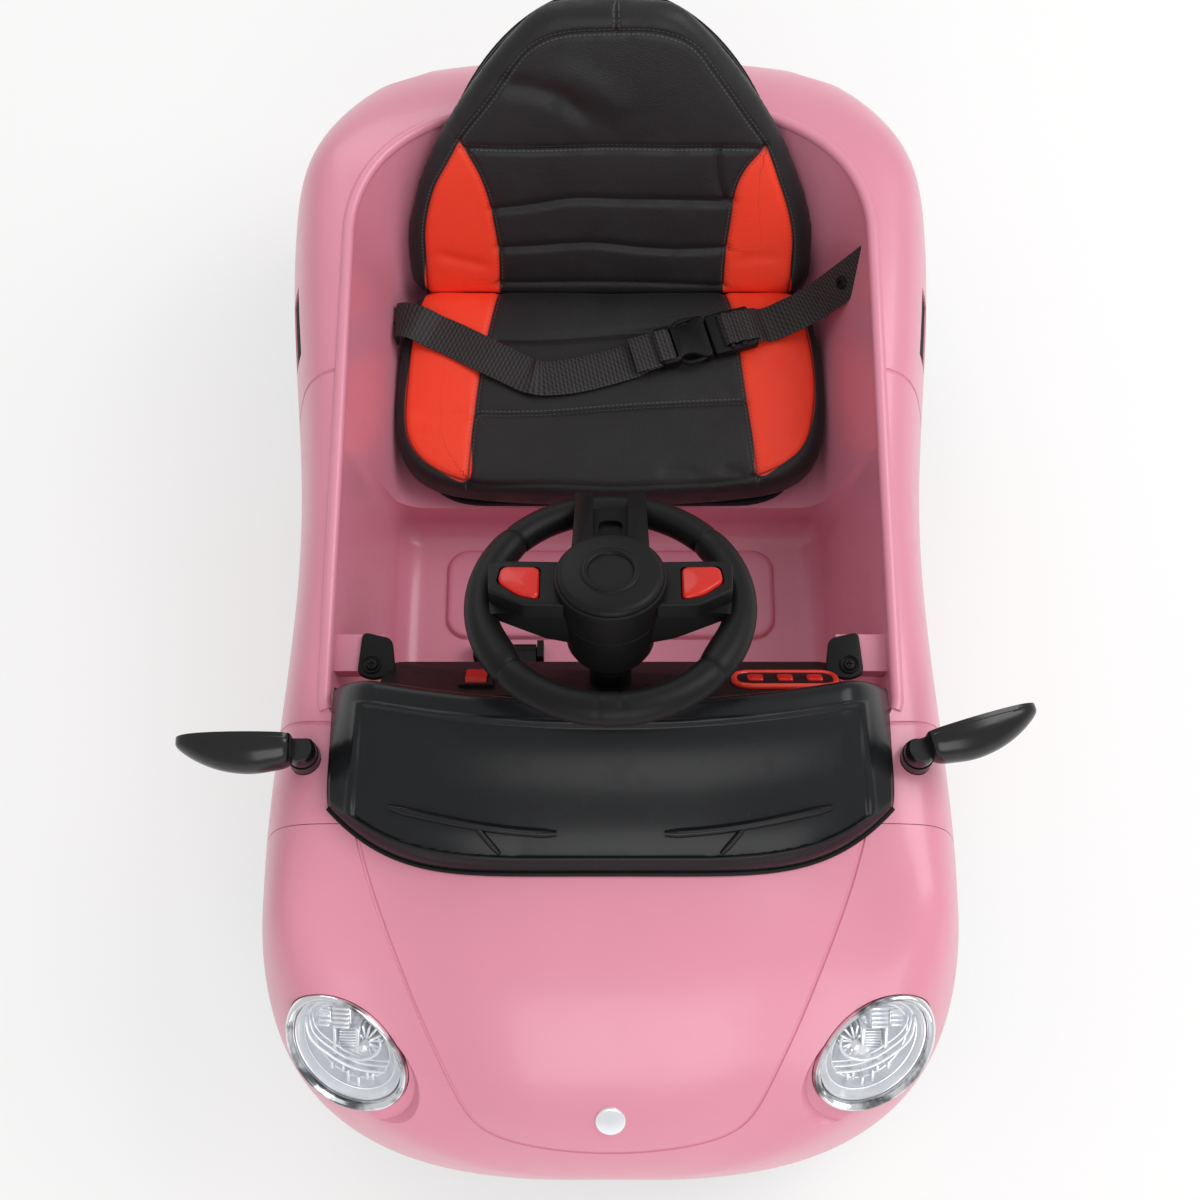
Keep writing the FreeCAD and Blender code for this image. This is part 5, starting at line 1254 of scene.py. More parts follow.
rim_ring = solid("steering_wheel", *steering_rim())
carve(rim_ring, solid("wheel_hub", *spun(HUB_PROFILE, 120)), "UNION")
for side in (1, -1):
    for shape in side_bar(side):
        carve(rim_ring, solid("side_bar", *shape), "UNION")
    pocket = slab(eased(key_outline(side, 0.9), 4), 17.6, 31.0)
    carve(rim_ring, solid("pocket", *pocket))
fork_place = placed((0, 36, 33), -17.0)
fork = [slab(eased([(-20, -4), (20, -4), (20, 74), (-20, 74)], 3), -14, -6, 1.0)]
for side in (1, -1):
    fork.append(slab(eased([(side * 13, -6), (side * 30, -6), (side * 28, 80), (side * 14, 80)], 4), -14, 0, 2.6))
for shape in fork:
    carve(rim_ring, solid("fork", *on(fork_place, shape)), "UNION")
arch_cut = slab(eased([(-9.5, 16), (9.5, 16), (9.5, 42), (-9.5, 42)], 8, 9), -10, 6)
carve(rim_ring, solid("arch_recess", *on(fork_place, arch_cut)))
rim_ring.data.transform(Matrix.Scale(MM, 4) @ column_place @ Matrix.Scale(1 / MM, 4))
dress(rim_ring, satin_black, "steering", "satin_black", "steering_wheel", angle=math.radians(34))

# %% [markdown]
# ## Hub cover and wheel keys
# The hub's cover is turned, with a raised ring. Both keys share one five-cornered outline, drawn a little
# smaller than the pockets that were cut for them.

# %% Hub cover and wheel keys
COVER_PROFILE = (
    (0.01, 39.2), (17, 39.4), (17.6, 40.8), (18.8, 42), (21, 42), (22.4, 41.2), (23, 40.2), (36, 39.6), (39, 38.4),
    (40.6, 36), (40.8, 34.4), (0.01, 34.4),
)  # fmt: skip
hub_cover = solid("hub_cover", *on(column_place, spun(COVER_PROFILE, 96)))
dress(hub_cover, satin_black, "steering", "satin_black", "hub_cover", angle=math.radians(50))
for name, side in (("horn", 1), ("music", -1)):
    outline = eased(key_outline(side, -0.3), 6, 9)
    key = solid(name + "_key_cap", *on(column_place, slab(outline, 20.6, 28.6, 3.2, 1.2, 7)))
    dress(key, button_red, name + "_key", "button_red", name + "_button", angle=math.radians(60))

# %% [markdown]
# ## Seat cushions
# The seat is two padded covers of black leathercloth with orange-red side panels, sewn into channels.
# Displacing a smooth block would look like clay, so each cover is blown up as cloth: its seams and its back
# are held, air pressure swells the panels between them, and the seams are pressed in afterwards.

# %% Distances to seams and panels
def nearest(points, line):
    """Signed distance from points to a polyline in their plane, and the run along it."""
    line = np.asarray(line, float)
    best = np.full(len(points), 1e9)
    run = np.zeros(len(points))
    start_run = 0.0
    for start, end in zip(line[:-1], line[1:]):
        way = end - start
        long = np.linalg.norm(way)
        share = np.clip((points - start) @ way / long**2, 0, 1)
        off = points - (start + share[:, None] * way)
        side = np.sign(way[0] * off[:, 1] - way[1] * off[:, 0])
        gap = np.linalg.norm(off, axis=1)
        closer = gap < np.abs(best)
        best = np.where(closer, gap * np.where(side == 0, 1, side), best)
        run = np.where(closer, start_run + share * long, run)
        start_run += long
    return best, run


def inside(points, outline):
    """Distance from points to a closed outline, positive inside it."""
    outline = np.asarray(outline, float)
    closed = np.vstack([outline, outline[:1]])
    gap = np.abs(nearest(points, closed)[0])
    within = np.zeros(len(points), bool)
    for (ax, ay), (bx, by) in zip(closed[:-1], closed[1:]):
        crosses = (ay > points[:, 1]) != (by > points[:, 1])
        spot = ax + (points[:, 1] - ay) / (by - ay + 1e-12) * (bx - ax)
        within ^= crosses & (points[:, 0] < spot)
    return np.where(within, gap, -gap)


print("distances ready")

# %% Points of a mesh
def coordinates(thing):
    flat = np.empty(len(thing.data.vertices) * 3)
    thing.data.vertices.foreach_get("co", flat)
    return flat.reshape(-1, 3) / MM


def normals(thing):
    flat = np.empty(len(thing.data.vertices) * 3)
    thing.data.vertex_normals.foreach_get("vector", flat)
    return flat.reshape(-1, 3)


def put_back(thing, points):
    thing.data.vertices.foreach_set("co", (np.asarray(points) * MM).ravel())
    thing.data.update()


def note(thing, name, values):
    """Keeps a length per point, in metres, for the finish to read."""
    kept = thing.data.attributes.new(name, "FLOAT", "POINT")
    kept.data.foreach_set("value", np.asarray(values, float))


print("points can be read, moved and noted on")

# %% Blown-up cloth
VOXEL, SEAM_HOLD, BLOW_CAP, BLOW_FRAMES = 4.5, 3.5, 8.0, 20


def offset_ring(outline, inset, height):
    """A closed outline moved inwards, at a height."""
    ahead = np.roll(outline, -1, axis=0) - np.roll(outline, 1, axis=0)
    ahead /= np.linalg.norm(ahead, axis=1)[:, None]
    inner = np.column_stack([-ahead[:, 1], ahead[:, 0]])
    flat = outline + inner * np.asarray(inset).reshape(-1, 1)
    return np.column_stack([flat, np.broadcast_to(height, len(flat))])


def padded_form(name, outline, levels):
    """A closed block through offset rings, its two ends drawn in to a point."""
    middle = outline.mean(axis=0)
    rings = []
    first = offset_ring(outline, *levels[0])
    for size in (0.02, 0.35, 0.7):
        rings.append(np.column_stack([first[:, :2] * size + middle * (1 - size), first[:, 2]]))
    rings += [offset_ring(outline, inset, height) for inset, height in levels]
    last = rings[-1]
    for size in (0.8, 0.55, 0.3, 0.02):
        rings.append(np.column_stack([last[:, :2] * size + middle * (1 - size), last[:, 2]]))
    return solid(name, *loft(rings))


def held_by(seams, back, front):
    """The test for blow_up: points lower than the back's edge stay, and points of the front on a seam."""

    def held(points):
        hold = (points[:, 2] < back).astype(float)
        for line, _, _, _ in seams:
            gap = np.abs(nearest(points[:, :2], line)[0])
            hold = np.maximum(hold, (gap < SEAM_HOLD) * (points[:, 2] > front))
        return hold

    return held


def blow_up(thing, held):
    """Swells a block as cloth under pressure; held is a test for the points that stay."""
    before = coordinates(thing)
    group = thing.vertex_groups.new(name="held")
    for index, weight in enumerate(held(before)):
        if weight > 0:
            group.add([index], float(weight), "REPLACE")
    cloth = thing.modifiers.new("cloth", "CLOTH")
    cloth.settings.quality = 5
    cloth.settings.mass = 0.25
    cloth.settings.tension_stiffness = 12
    cloth.settings.compression_stiffness = 12
    cloth.settings.shear_stiffness = 4
    cloth.settings.bending_stiffness = 0.4
    cloth.settings.use_pressure = True
    cloth.settings.uniform_pressure_force = 4
    cloth.settings.vertex_group_mass = "held"
    cloth.settings.effector_weights.gravity = 0
    cloth.collision_settings.use_collision = False
    cloth.point_cache.frame_end = BLOW_FRAMES
    for moment in range(1, BLOW_FRAMES + 1):
        bpy.context.scene.frame_set(moment)
    settle(thing)
    bpy.context.scene.frame_set(1)
    move = coordinates(thing) - before
    far = np.linalg.norm(move, axis=1)
    put_back(thing, before + move * np.minimum(1, BLOW_CAP / np.maximum(far, 1e-6))[:, None])
    print(thing.name, "swelled by up to %.1f mm, kept to %.1f" % (far.max(), BLOW_CAP))


def remeshed(thing):
    grid = thing.modifiers.new("grid", "REMESH")
    grid.mode = "VOXEL"
    grid.voxel_size = VOXEL * MM
    settle(thing)
    smoother = thing.modifiers.new("even", "SMOOTH")
    smoother.factor, smoother.iterations = 0.5, 4
    settle(thing)


def finer(thing):
    levels = thing.modifiers.new("finer", "SUBSURF")
    levels.levels = levels.render_levels = 1
    settle(thing)


print("covers swell for", BLOW_FRAMES, "frames")

# %% Sewing
def sew(thing, seams, reds, folds, back, fade_in):
    """Presses seams and soft folds into the front, and tells the finish where they run."""
    points, away = coordinates(thing), normals(thing)
    seen = smooth((away[:, 2] - 0.05) / 0.3) * smooth((points[:, 2] - back) / fade_in)
    off = np.full(len(points), 60.0)
    run, kind = np.zeros(len(points)), np.zeros(len(points))
    sink = np.zeros(len(points))
    for line, depth, wide, stitched in seams:
        path = spline(line, max(12, len(line) * 8))
        gap, along_it = nearest(points[:, :2], path)
        sink += depth * np.exp(-((gap / wide) ** 2))
        closer = np.abs(gap) < np.abs(off)
        off, run = np.where(closer, gap, off), np.where(closer, along_it, run)
        kind = np.where(closer, float(stitched), kind)
    for line, depth, wide in folds:
        gap, along_it = nearest(points[:, :2], spline(line, 40))
        total = along_it.max()
        fade = smooth(along_it / (0.3 * total)) * smooth((total - along_it) / (0.3 * total))
        sink += depth * fade * np.exp(-((gap / wide) ** 2))
    put_back(thing, points - away * (sink * seen)[:, None])
    red = np.max([inside(points[:, :2], spline(line, 60)) for line in reds], axis=0)
    hidden = seen < 0.05
    note(thing, "red_in", np.where(hidden, -20.0, red) * MM)
    note(thing, "seam_off", np.where(hidden, 60.0, off) * MM)
    note(thing, "seam_run", run * MM)
    note(thing, "seam_kind", kind)


print("seams are held within", SEAM_HOLD, "mm")

# %% [markdown]
# ## Seat cushion
# Outline, red panels, seams and folds are drawn in plan, as a sewer's pattern would be. The underside stays
# flat, because it rests on the pan.

# %% Seat cushion
SEAT_LINE = (
    (0, 288), (80, 289), (150, 289), (180, 284), (192, 262), (199, 230), (202, 190), (201, 150), (195, 122),
    (181, 102), (160, 90), (120, 82), (62, 77), (0, 75), (-62, 77), (-120, 81), (-155, 87), (-178, 98),
    (-194, 118), (-202, 150), (-202, 190), (-199, 230), (-194, 262), (-182, 284), (-150, 289), (-80, 289),
)  # fmt: skip
SEAT_REDS = (
    ((-176, 286), (-182, 263), (-188, 227), (-192, 189), (-193, 154), (-188, 127), (-177, 110), (-158, 96),
     (-132, 87), (-129, 120), (-127, 151), (-123, 192), (-116, 238), (-106, 290)),
    ((173, 290), (186, 252), (192, 213), (193, 178), (189, 148), (179, 121), (158, 102), (136, 92), (133, 110),
     (128, 161), (122, 217), (115, 266), (109, 288)),
)  # fmt: skip
SEAT_SEAMS = (  # each has its points, its depth, its width and whether stitches show
    (((-106, 290), (-116, 238), (-123, 192), (-127, 151), (-132, 84)), 2.2, 3.0, True),
    (((109, 288), (115, 266), (122, 217), (128, 161), (136, 90)), 2.2, 3.0, True),
    (((-108, 231), (-61, 231), (2, 236), (58, 241), (118, 247)), 2.6, 3.4, False),
    (((-125, 154), (-76, 154), (2, 160), (63, 164), (127, 167)), 2.2, 3.0, True),
    (((-190, 230), (-191, 189), (-192, 154), (-187, 127), (-176, 110), (-157, 96), (-132, 87), (-62, 84), (0, 82),
      (62, 84), (134, 92), (158, 102), (179, 121), (188, 148), (192, 178), (191, 213), (185, 252)), 1.6, 2.4, False),
)  # fmt: skip
SEAT_FOLDS = (  # each has its points, its depth and its width
    (((-190, 150), (-160, 152), (-128, 153)), 1.6, 6.0),
    (((100, 100), (112, 96), (128, 92)), 2.2, 5.0),
    (((40, 92), (60, 96), (90, 92)), 1.4, 5.0),
    (((-110, 110), (-60, 118), (-20, 112)), 0.9, 9.0),
)
SEAT_LEVELS = (  # how far in, how high
    (9, 170.5), (3, 173), (0, 180), (-0.5, 192), (0, 203), (2.5, 210), (8, 214.5), (18, 216.5), (40, 217.5),
)  # fmt: skip
seat_edge = spline(SEAT_LINE + SEAT_LINE[:1], 240)[:-1][::-1]
cushion = padded_form("seat_cushion", seat_edge, SEAT_LEVELS)
remeshed(cushion)
blow_up(cushion, held_by(SEAT_SEAMS, 200, 205))
finer(cushion)
sew(cushion, SEAT_SEAMS, SEAT_REDS, SEAT_FOLDS, 196, 10)
dress(cushion, seat_leather, "car_body", "seat_leather", "seat_cushion", angle=math.radians(80))
print("seat cushion", len(cushion.data.vertices), "points")

# %% [markdown]
# ## Backrest
# It is sewn lying down, in the same way as the cushion, and then stood up against the plate behind it.

# %% Backrest
BACK_LINE = (
    (0, 284), (30, 283.5), (52, 281), (68, 272), (82, 258), (98, 240), (115, 218), (134, 191), (151, 163),
    (165, 134), (177, 104), (186, 76), (191, 50), (192, 20), (190, -4), (182, -14), (150, -17), (80, -18), (0, -18),
    (-80, -18), (-150, -17), (-182, -14), (-190, -4), (-193, 20), (-192, 50), (-186, 76), (-178, 104), (-166, 134),
    (-151, 163), (-134, 191), (-115, 218), (-98, 240), (-82, 258), (-68, 272), (-52, 281), (-30, 283.5),
)  # fmt: skip
BACK_REDS = (
    ((-136, 157), (-122, 129), (-113, 101), (-108, 69), (-105, 39), (-106, 0), (-108, -16), (-172, -16),
     (-175, 32), (-174, 61), (-169, 87), (-161, 111), (-149, 133)),
    ((141, 151), (125, 132), (115, 108), (112, 80), (109, 47), (108, 0), (110, -16), (171, -16), (172, 14),
     (171, 54), (164, 87), (153, 119)),
)  # fmt: skip
BACK_BORDER = (
    (-176, -10), (-175, 32), (-174, 61), (-169, 87), (-161, 111), (-149, 133), (-136, 157), (-116, 184),
    (-91, 219), (-74, 242), (-50, 257), (-27, 261), (5, 262), (30, 262), (55, 257), (73, 247), (88, 228),
    (106, 202), (125, 174), (141, 150), (153, 119), (164, 87), (171, 54), (172, 14), (171, -10),
)  # fmt: skip
BACK_SEAMS = (
    (BACK_BORDER, 2.0, 2.6, True),
    (((-136, 157), (-122, 129), (-113, 101), (-108, 69), (-105, 39), (-106, 0)), 2.2, 2.8, True),
    (((141, 151), (125, 132), (115, 108), (112, 80), (109, 47), (108, 0)), 2.2, 2.8, True),
    (((-130, 150), (-58, 149), (2, 151), (46, 150), (94, 150), (136, 149)), 2.8, 3.4, True),
    (((-109, 86), (-66, 92), (-38, 97), (-5, 97), (32, 96), (112, 94)), 3.4, 4.0, False),
    (((-105, 44), (-67, 46), (-14, 49), (20, 45), (64, 42), (109, 44)), 3.4, 4.0, False),
    (((-106, 4), (-40, 5), (2, 5), (60, 3), (109, 0)), 2.6, 3.4, False),
    (((97, 149), (99, 120), (106, 96)), 2.0, 2.8, False),
    (((5, 262), (5, 272), (5, 281)), 1.6, 1.8, True),
)
BACK_FOLDS = (
    (((-112, 214), (-88, 212), (-62, 208), (-38, 197), (-20, 181), (-6, 168)), 3.6, 10.0),
    (((-60, 232), (-20, 214), (8, 190), (14, 172)), -1.8, 14.0),
    (((-170, 40), (-140, 30), (-108, 22)), 1.8, 6.0),
    (((112, 26), (140, 34), (168, 30)), 1.2, 7.0),
)
BACK_LEVELS = ((10, -23.5), (4, -22.5), (1, -18), (0, -12), (3, -5), (9, 0.5), (15, 2.5), (24, 3.0), (44, 3.6))
back_edge = spline(BACK_LINE + BACK_LINE[:1], 280)[:-1][::-1]
backrest = padded_form("backrest", back_edge, BACK_LEVELS)
remeshed(backrest)
blow_up(backrest, held_by(BACK_SEAMS, -9, -6))
finer(backrest)
sew(backrest, BACK_SEAMS, BACK_REDS, BACK_FOLDS, -16, 8)
back_place = placed((0, 291, 215), 65)
put_back(backrest, moved(coordinates(backrest), back_place))
dress(backrest, seat_leather, "car_body", "seat_leather", "back_cushion", angle=math.radians(80))
print("backrest", len(backrest.data.vertices), "points")

# %% [markdown]
# ## Seat shell
# The cushions sit on one black moulding: a pan with round front corners and an arched plate behind the
# backrest. Both are plain plates with softened edges.

# %% Seat shell
PLATE_HALF, PLATE_TALL, PLATE_FOOT = 173.0, 286.0, 41.2
pan = slab(eased([(-180, 82), (180, 82), (180, 300), (-180, 300)], 62, 12), 165.2, 170.0, 1.6)
arch = [(PLATE_HALF * math.cos(t), PLATE_TALL * math.sin(t)) for t in np.linspace(0, math.pi, 73)]
arch += [(-PLATE_HALF, -PLATE_FOOT), (PLATE_HALF, -PLATE_FOOT)]
shell_plate = slab(arch, -24, -30, -2.0)
seat_shell = solid("seat_shell_moulding", *together(pan, on(back_place, shell_plate)))
dress(seat_shell, satin_black, "car_body", "satin_black", "seat_shell")

# %% [markdown]
# ## Lap belt
# A flat woven strap lies over the cushion from both sides and meets in a side-release buckle. A strap is
# modelled directly as a thin ribbon: its middle line follows the photograph, and each row is then laid on
# the cushion below it. Where it turns, its inner edge is pushed up into a small fold.

# %% Lap belt
BELT_HALF, BELT_THICK = 18.0, 2.2


def over_seat(x, y):
    """The cushion's height under a point of the plan."""
    hit, spot, _, _ = cushion.ray_cast((x * MM, y * MM, 0.4), (0, 0, -1))
    return spot.z / MM if hit else 0.0


def turned(spots, ways, count):
    """Directions given at some spots, spread evenly over the way between them."""
    at = np.concatenate([[0], np.cumsum(np.linalg.norm(np.diff(spots, axis=0), axis=1))])
    where = np.linspace(0, at[-1], count)
    return np.column_stack([np.interp(where, at, part) for part in np.array(ways, float).T])


def strap(name, stops, count, laid=None, fold=None):
    """A ribbon along stops; laid says how much of each row's height comes from the cushion."""
    spots = np.array([spot for spot, _, _ in stops], float)
    middle = spline(spots, count)
    across = turned(spots, [way for _, way, _ in stops], count)
    across /= np.linalg.norm(across, axis=1)[:, None]
    thin = turned(spots, [way for _, _, way in stops], count)
    thin -= across * np.sum(thin * across, axis=1)[:, None]
    thin /= np.linalg.norm(thin, axis=1)[:, None]
    columns = np.linspace(-1, 1, 13)
    plate_half = BELT_THICK / 2 * (0.45 + 0.55 * np.sqrt(1 - np.abs(columns) ** 8))
    run = np.concatenate([[0], np.cumsum(np.linalg.norm(np.diff(middle, axis=0), axis=1))])
    rings, spread, length = [], [], []
    for index in range(count):
        row = middle[index] + across[index] * columns[:, None] * BELT_HALF
        share = laid(middle[index]) if laid else 0.0
        if share > 0:
            bed = np.array([over_seat(x, y) for x, y, _ in row])
            wave = 0.5 * np.sin(run[index] / 17 + columns * 1.3)
            want = np.where(bed > 0, np.maximum(bed + BELT_THICK / 2 + 0.5, row[:, 2] - 6) + wave * 0.6, row[:, 2])
            row[:, 2] = mix(row[:, 2], np.maximum(want, bed + BELT_THICK / 2 + 0.4), share)
        if fold:
            near = math.exp(-(((run[index] - fold[0]) / fold[1]) ** 2))
            row[:, 2] += fold[2] * near * (0.35 + 0.65 * smooth((columns + 1) / 2))
        upper = row + thin[index] * plate_half[:, None]
        lower = row - thin[index] * plate_half[:, None]
        rings.append(np.concatenate([upper, lower[::-1]]))
        spread.append(np.concatenate([columns, columns[::-1]]) * BELT_HALF)
        length.append(np.full(len(columns) * 2, run[index]))
    thing = solid(name, *loft(rings))
    note(thing, "across", np.concatenate(spread) * MM)
    note(thing, "along", np.concatenate(length) * MM)
    return thing


UP = (0, 0, 1)
BUCKLE_AT = (92.0, 228.0)
buckle_turn = math.radians(16)
heading = np.array([math.cos(buckle_turn), math.sin(buckle_turn), 0.0])
aside = np.array([-math.sin(buckle_turn), math.cos(buckle_turn), 0.0])
buckle_spot = np.array([*BUCKLE_AT, 0.0])
socket_end = buckle_spot - heading * 44 + np.array([0, 0, 228.4])
plug_end = buckle_spot + heading * 40 + np.array([0, 0, 228.4])
RIGHT_STOPS = (  # each has a point of the middle line, the way across the strap and the way that it faces
    ((-202.8, 250, 204), (0, 1, 0), (-1, 0, 0)),
    ((-202.8, 250, 220), (0, 1, 0), (-1, 0, 0.05)),
    ((-197.0, 247, 227.5), (0.2, 1, 0), (-0.7, 0, 0.7)),
    ((-172, 239, 228.5), (0.5, 1, 0), UP),
    ((-120, 213, 228), (0.52, 1, 0), UP),
    ((-84, 194, 228), (0.5, 1, 0), UP),
    ((-72, 188.5, 228), (0.2, 1, 0), UP),
    ((-60, 187.5, 228), (-0.15, 1, 0), UP),
    ((-12, 196, 227.5), (-0.2, 1, 0), UP),
    (tuple(socket_end), tuple(aside), UP),
)
LEFT_STOPS = (
    (tuple(plug_end), tuple(aside), UP),
    ((146, 243, 229), (-0.33, 1, 0), UP),
    ((166, 248, 231), (-0.36, 1, 0), (-0.1, 0, 1)),
    ((188, 253, 245), (-0.44, 0.9, 0), (-0.6, -0.3, 0.7)),
    ((206, 255, 270), (-0.44, 0.9, 0), (-0.76, -0.37, 0.53)),
    ((226, 257, 301), (-0.44, 0.9, 0), (-0.76, -0.37, 0.53)),
    ((240, 259, 323), (-0.44, 0.9, 0), (-0.76, -0.37, 0.53)),
)
RIGHT_FOLD = (166, 4.5, 4.6)  # how far along it comes, how long and how high it is


def right_lies(spot):
    """The right strap lies on the cushion, but not at its anchor or at the buckle."""
    return ease((185 - abs(spot[0])) / 20) * ease((34 - spot[0]) / 12)


def left_lies(spot):
    return ease((170 - spot[0]) / 20) * ease((spot[0] - 138) / 8)


belt_right = strap("belt_right", RIGHT_STOPS, 220, right_lies, RIGHT_FOLD)
dress(belt_right, webbing, "car_body", "webbing", "belt_right", angle=math.radians(60))
belt_left = strap("belt_left", LEFT_STOPS, 70, left_lies)
dress(belt_left, webbing, "car_body", "webbing", "belt_left", angle=math.radians(60))
sewn_stops = []
for far in (74, 66, 58, 50, 43):
    sewn_stops.append((tuple(buckle_spot - heading * far + np.array([0, 0, 229.4])), tuple(aside), UP))
sewn_end = strap("belt_sewn_end", sewn_stops, 24)
dress(sewn_end, webbing, "car_body", "webbing", angle=math.radians(60))

# %% [markdown]
# ## Buckle
# A side-release buckle: a socket with two sprung prongs, and a ribbed plug. Both are plates with openings cut
# through them, and short lengths of strap are woven round their bars.

# %% Buckle
buckle_place = Matrix.Translation(Vector((*BUCKLE_AT, 223.0))) @ Matrix.Rotation(buckle_turn, 4, "Z")


def buckle_piece(name, outline, radius, high, edge, cuts):
    """A plate with rounded edges and openings cut through it, in the buckle's own frame."""
    thing = solid(name, *slab(eased(outline, radius), 0.2, high, edge))
    for corners, corner in cuts:
        carve(thing, solid("opening", *slab(eased(corners, corner), -2, high + 4)))
    return thing


PRONG_LINE = ((-31, 16.5, 5), (-27, 20.5, 6), (-18, 22, 6.4), (-9, 20.5, 6.4), (-4, 17, 6.4))
SOCKET_LINE = (
    (-50, -19), (-34, -20), (-29, -15), (-20, -14.5), (-9, -22), (-0.5, -22),
    (-0.5, 22), (-9, 22), (-20, 14.5), (-29, 15), (-34, 20), (-50, 19),
)  # fmt: skip
socket_cuts = [
    (((-46, -15), (-42.5, -15), (-42.5, 15), (-46, 15)), 1.2),
    (((-38, -15), (-33.5, -15), (-33.5, 15), (-38, 15)), 1.2),
]
socket = buckle_piece("buckle_socket", SOCKET_LINE, 3.5, 11.0, 3.0, socket_cuts)
for side in (1, -1):
    arm = tube(spline([(x, side * y, z) for x, y, z in PRONG_LINE], 24), 2.3, 10)
    carve(socket, solid("prong", *arm), "UNION")
PLUG_LINE = ((1, -21), (44, -21), (44, 21), (1, 21))
plug_cuts = [(((x, -16.5), (x + 5.5, -16.5), (x + 5.5, 16.5), (x, 16.5)), 1.2) for x in (11, 21, 34)]
plug = buckle_piece("buckle_plug", PLUG_LINE, 4.0, 8.6, 2.2, plug_cuts)
for near, far, high in ((17, 20.5, 11.4), (27.5, 33, 10.4)):
    ridge = slab(eased([(near, -20), (far, -20), (far, 20), (near, 20)], 1.2), 6, high, 1.4)
    carve(plug, solid("ridge", *ridge), "UNION")
for thing in (socket, plug):
    put_back(thing, moved(coordinates(thing), buckle_place))
    dress(thing, satin_black, "car_body", "satin_black", thing.name.split(".")[0], angle=math.radians(34))


def loop_over(name, knots):
    """A short length of strap woven through the buckle's bars."""
    spots = [buckle_place @ Vector((x, 0.0, z)) for x, z in knots]
    ways = np.gradient(np.array(knots, float), axis=0)
    stops = []
    for spot, (dx, dz) in zip(spots, ways):
        thin = heading * -dz + np.array([0, 0, dx])
        stops.append((tuple(spot), tuple(aside), tuple(thin)))
    woven = strap(name, stops, 40)
    points = coordinates(woven)
    out = (points - buckle_spot) @ aside
    put_back(woven, points - aside * (out * 0.12)[:, None])
    dress(woven, webbing, "car_body", "webbing", angle=math.radians(60))


RIGHT_LOOP = ((-52, 7.2), (-48, 12.2), (-44.5, 11.6), (-41.0, 11.8), (-37.5, 10.6), (-35.5, 3.0))
LEFT_LOOP = (
    (12, 4), (14.5, 10.6), (19, 13.4), (23, 10.8), (26, 11.6), (30, 12.6), (34.5, 10.4), (40, 10.2), (46, 7.4),
)  # fmt: skip
loop_over("belt_loop_right", RIGHT_LOOP)
loop_over("belt_loop_left", LEFT_LOOP)
print("belt and buckle done")

# %% [markdown]
# ## Headlights
# Each lamp has a plated bezel, a clear domed lens and, behind it, a bright moulding of arcs, ribs and facets
# that only looks like a reflector. The moulding is built of many small forms, since a bump map would not
# catch light behind a lens.

# %% Headlights
BEZEL_PROFILE = (
    (56.0, -11.6), (56.0, -1.0), (55.6, 2.2), (54.4, 4.2), (52.6, 4.9), (51.2, 4.2), (50.6, 2.6), (49.8, 2.2),
    (49.3, 1.0), (49.1, -3.0), (49.1, -11.6),
)  # fmt: skip
LENS_PROFILE = (
    (0.01, 6.3), (12, 6.0), (24, 5.1), (34, 3.8), (42, 2.1), (47, 0.6), (48.6, -0.8), (48.6, -3.0), (46, -2.4),
    (40, 0.0), (32, 1.8), (22, 3.2), (12, 4.0), (0.01, 4.3),
)  # fmt: skip
BOWL_PROFILE = (
    (0.01, -33.5), (20, -33.5), (34, -24), (43, -13), (48.3, -4.2), (48.3, -3.6), (46.8, -3.6), (42.2, -10.8),
    (41.2, -10.8), (41.0, -12.6), (35.8, -18.6), (34.6, -18.6), (34.2, -20.4), (27.0, -26.2), (20, -31),
    (0.01, -31),
)  # fmt: skip


def plate(x, y, wide, tall, low, high, turn=0.0):
    corners = [(-wide / 2, -tall / 2), (wide / 2, -tall / 2), (wide / 2, tall / 2), (-wide / 2, tall / 2)]
    a = math.radians(turn)
    spots = [(x + p * math.cos(a) - q * math.sin(a), y + p * math.sin(a) + q * math.cos(a)) for p, q in corners]
    return slab(eased(spots, min(wide, tall) * 0.25, 4), low, high, min(wide, tall) * 0.2, steps=3)


LAMP_UPRIGHT = Matrix(((-0.64, 0.782, 0, 0), (0.774, 0.683, 0, 0), (0, 0, 1, 0), (0, 0, 0, 1)))
SWEEP = ((-35.6, 27), (-33, 9.5), (-20.5, -3.7), (-4.6, -14.3), (13.9, -20.9), (30, -22.2))
SMALL_RIM = ((25.5, 8), (26.6, 0), (22.8, -6.5), (13.9, -11.6), (4, -12), (-3.3, -10.3))
DRIPS = ((-15.2, -16.2, 6), (-5.9, -19.5, 6), (-2, -26, 10), (14.5, -26, 8), (19, -27.4, 6), (6.5, -31.5, 8))


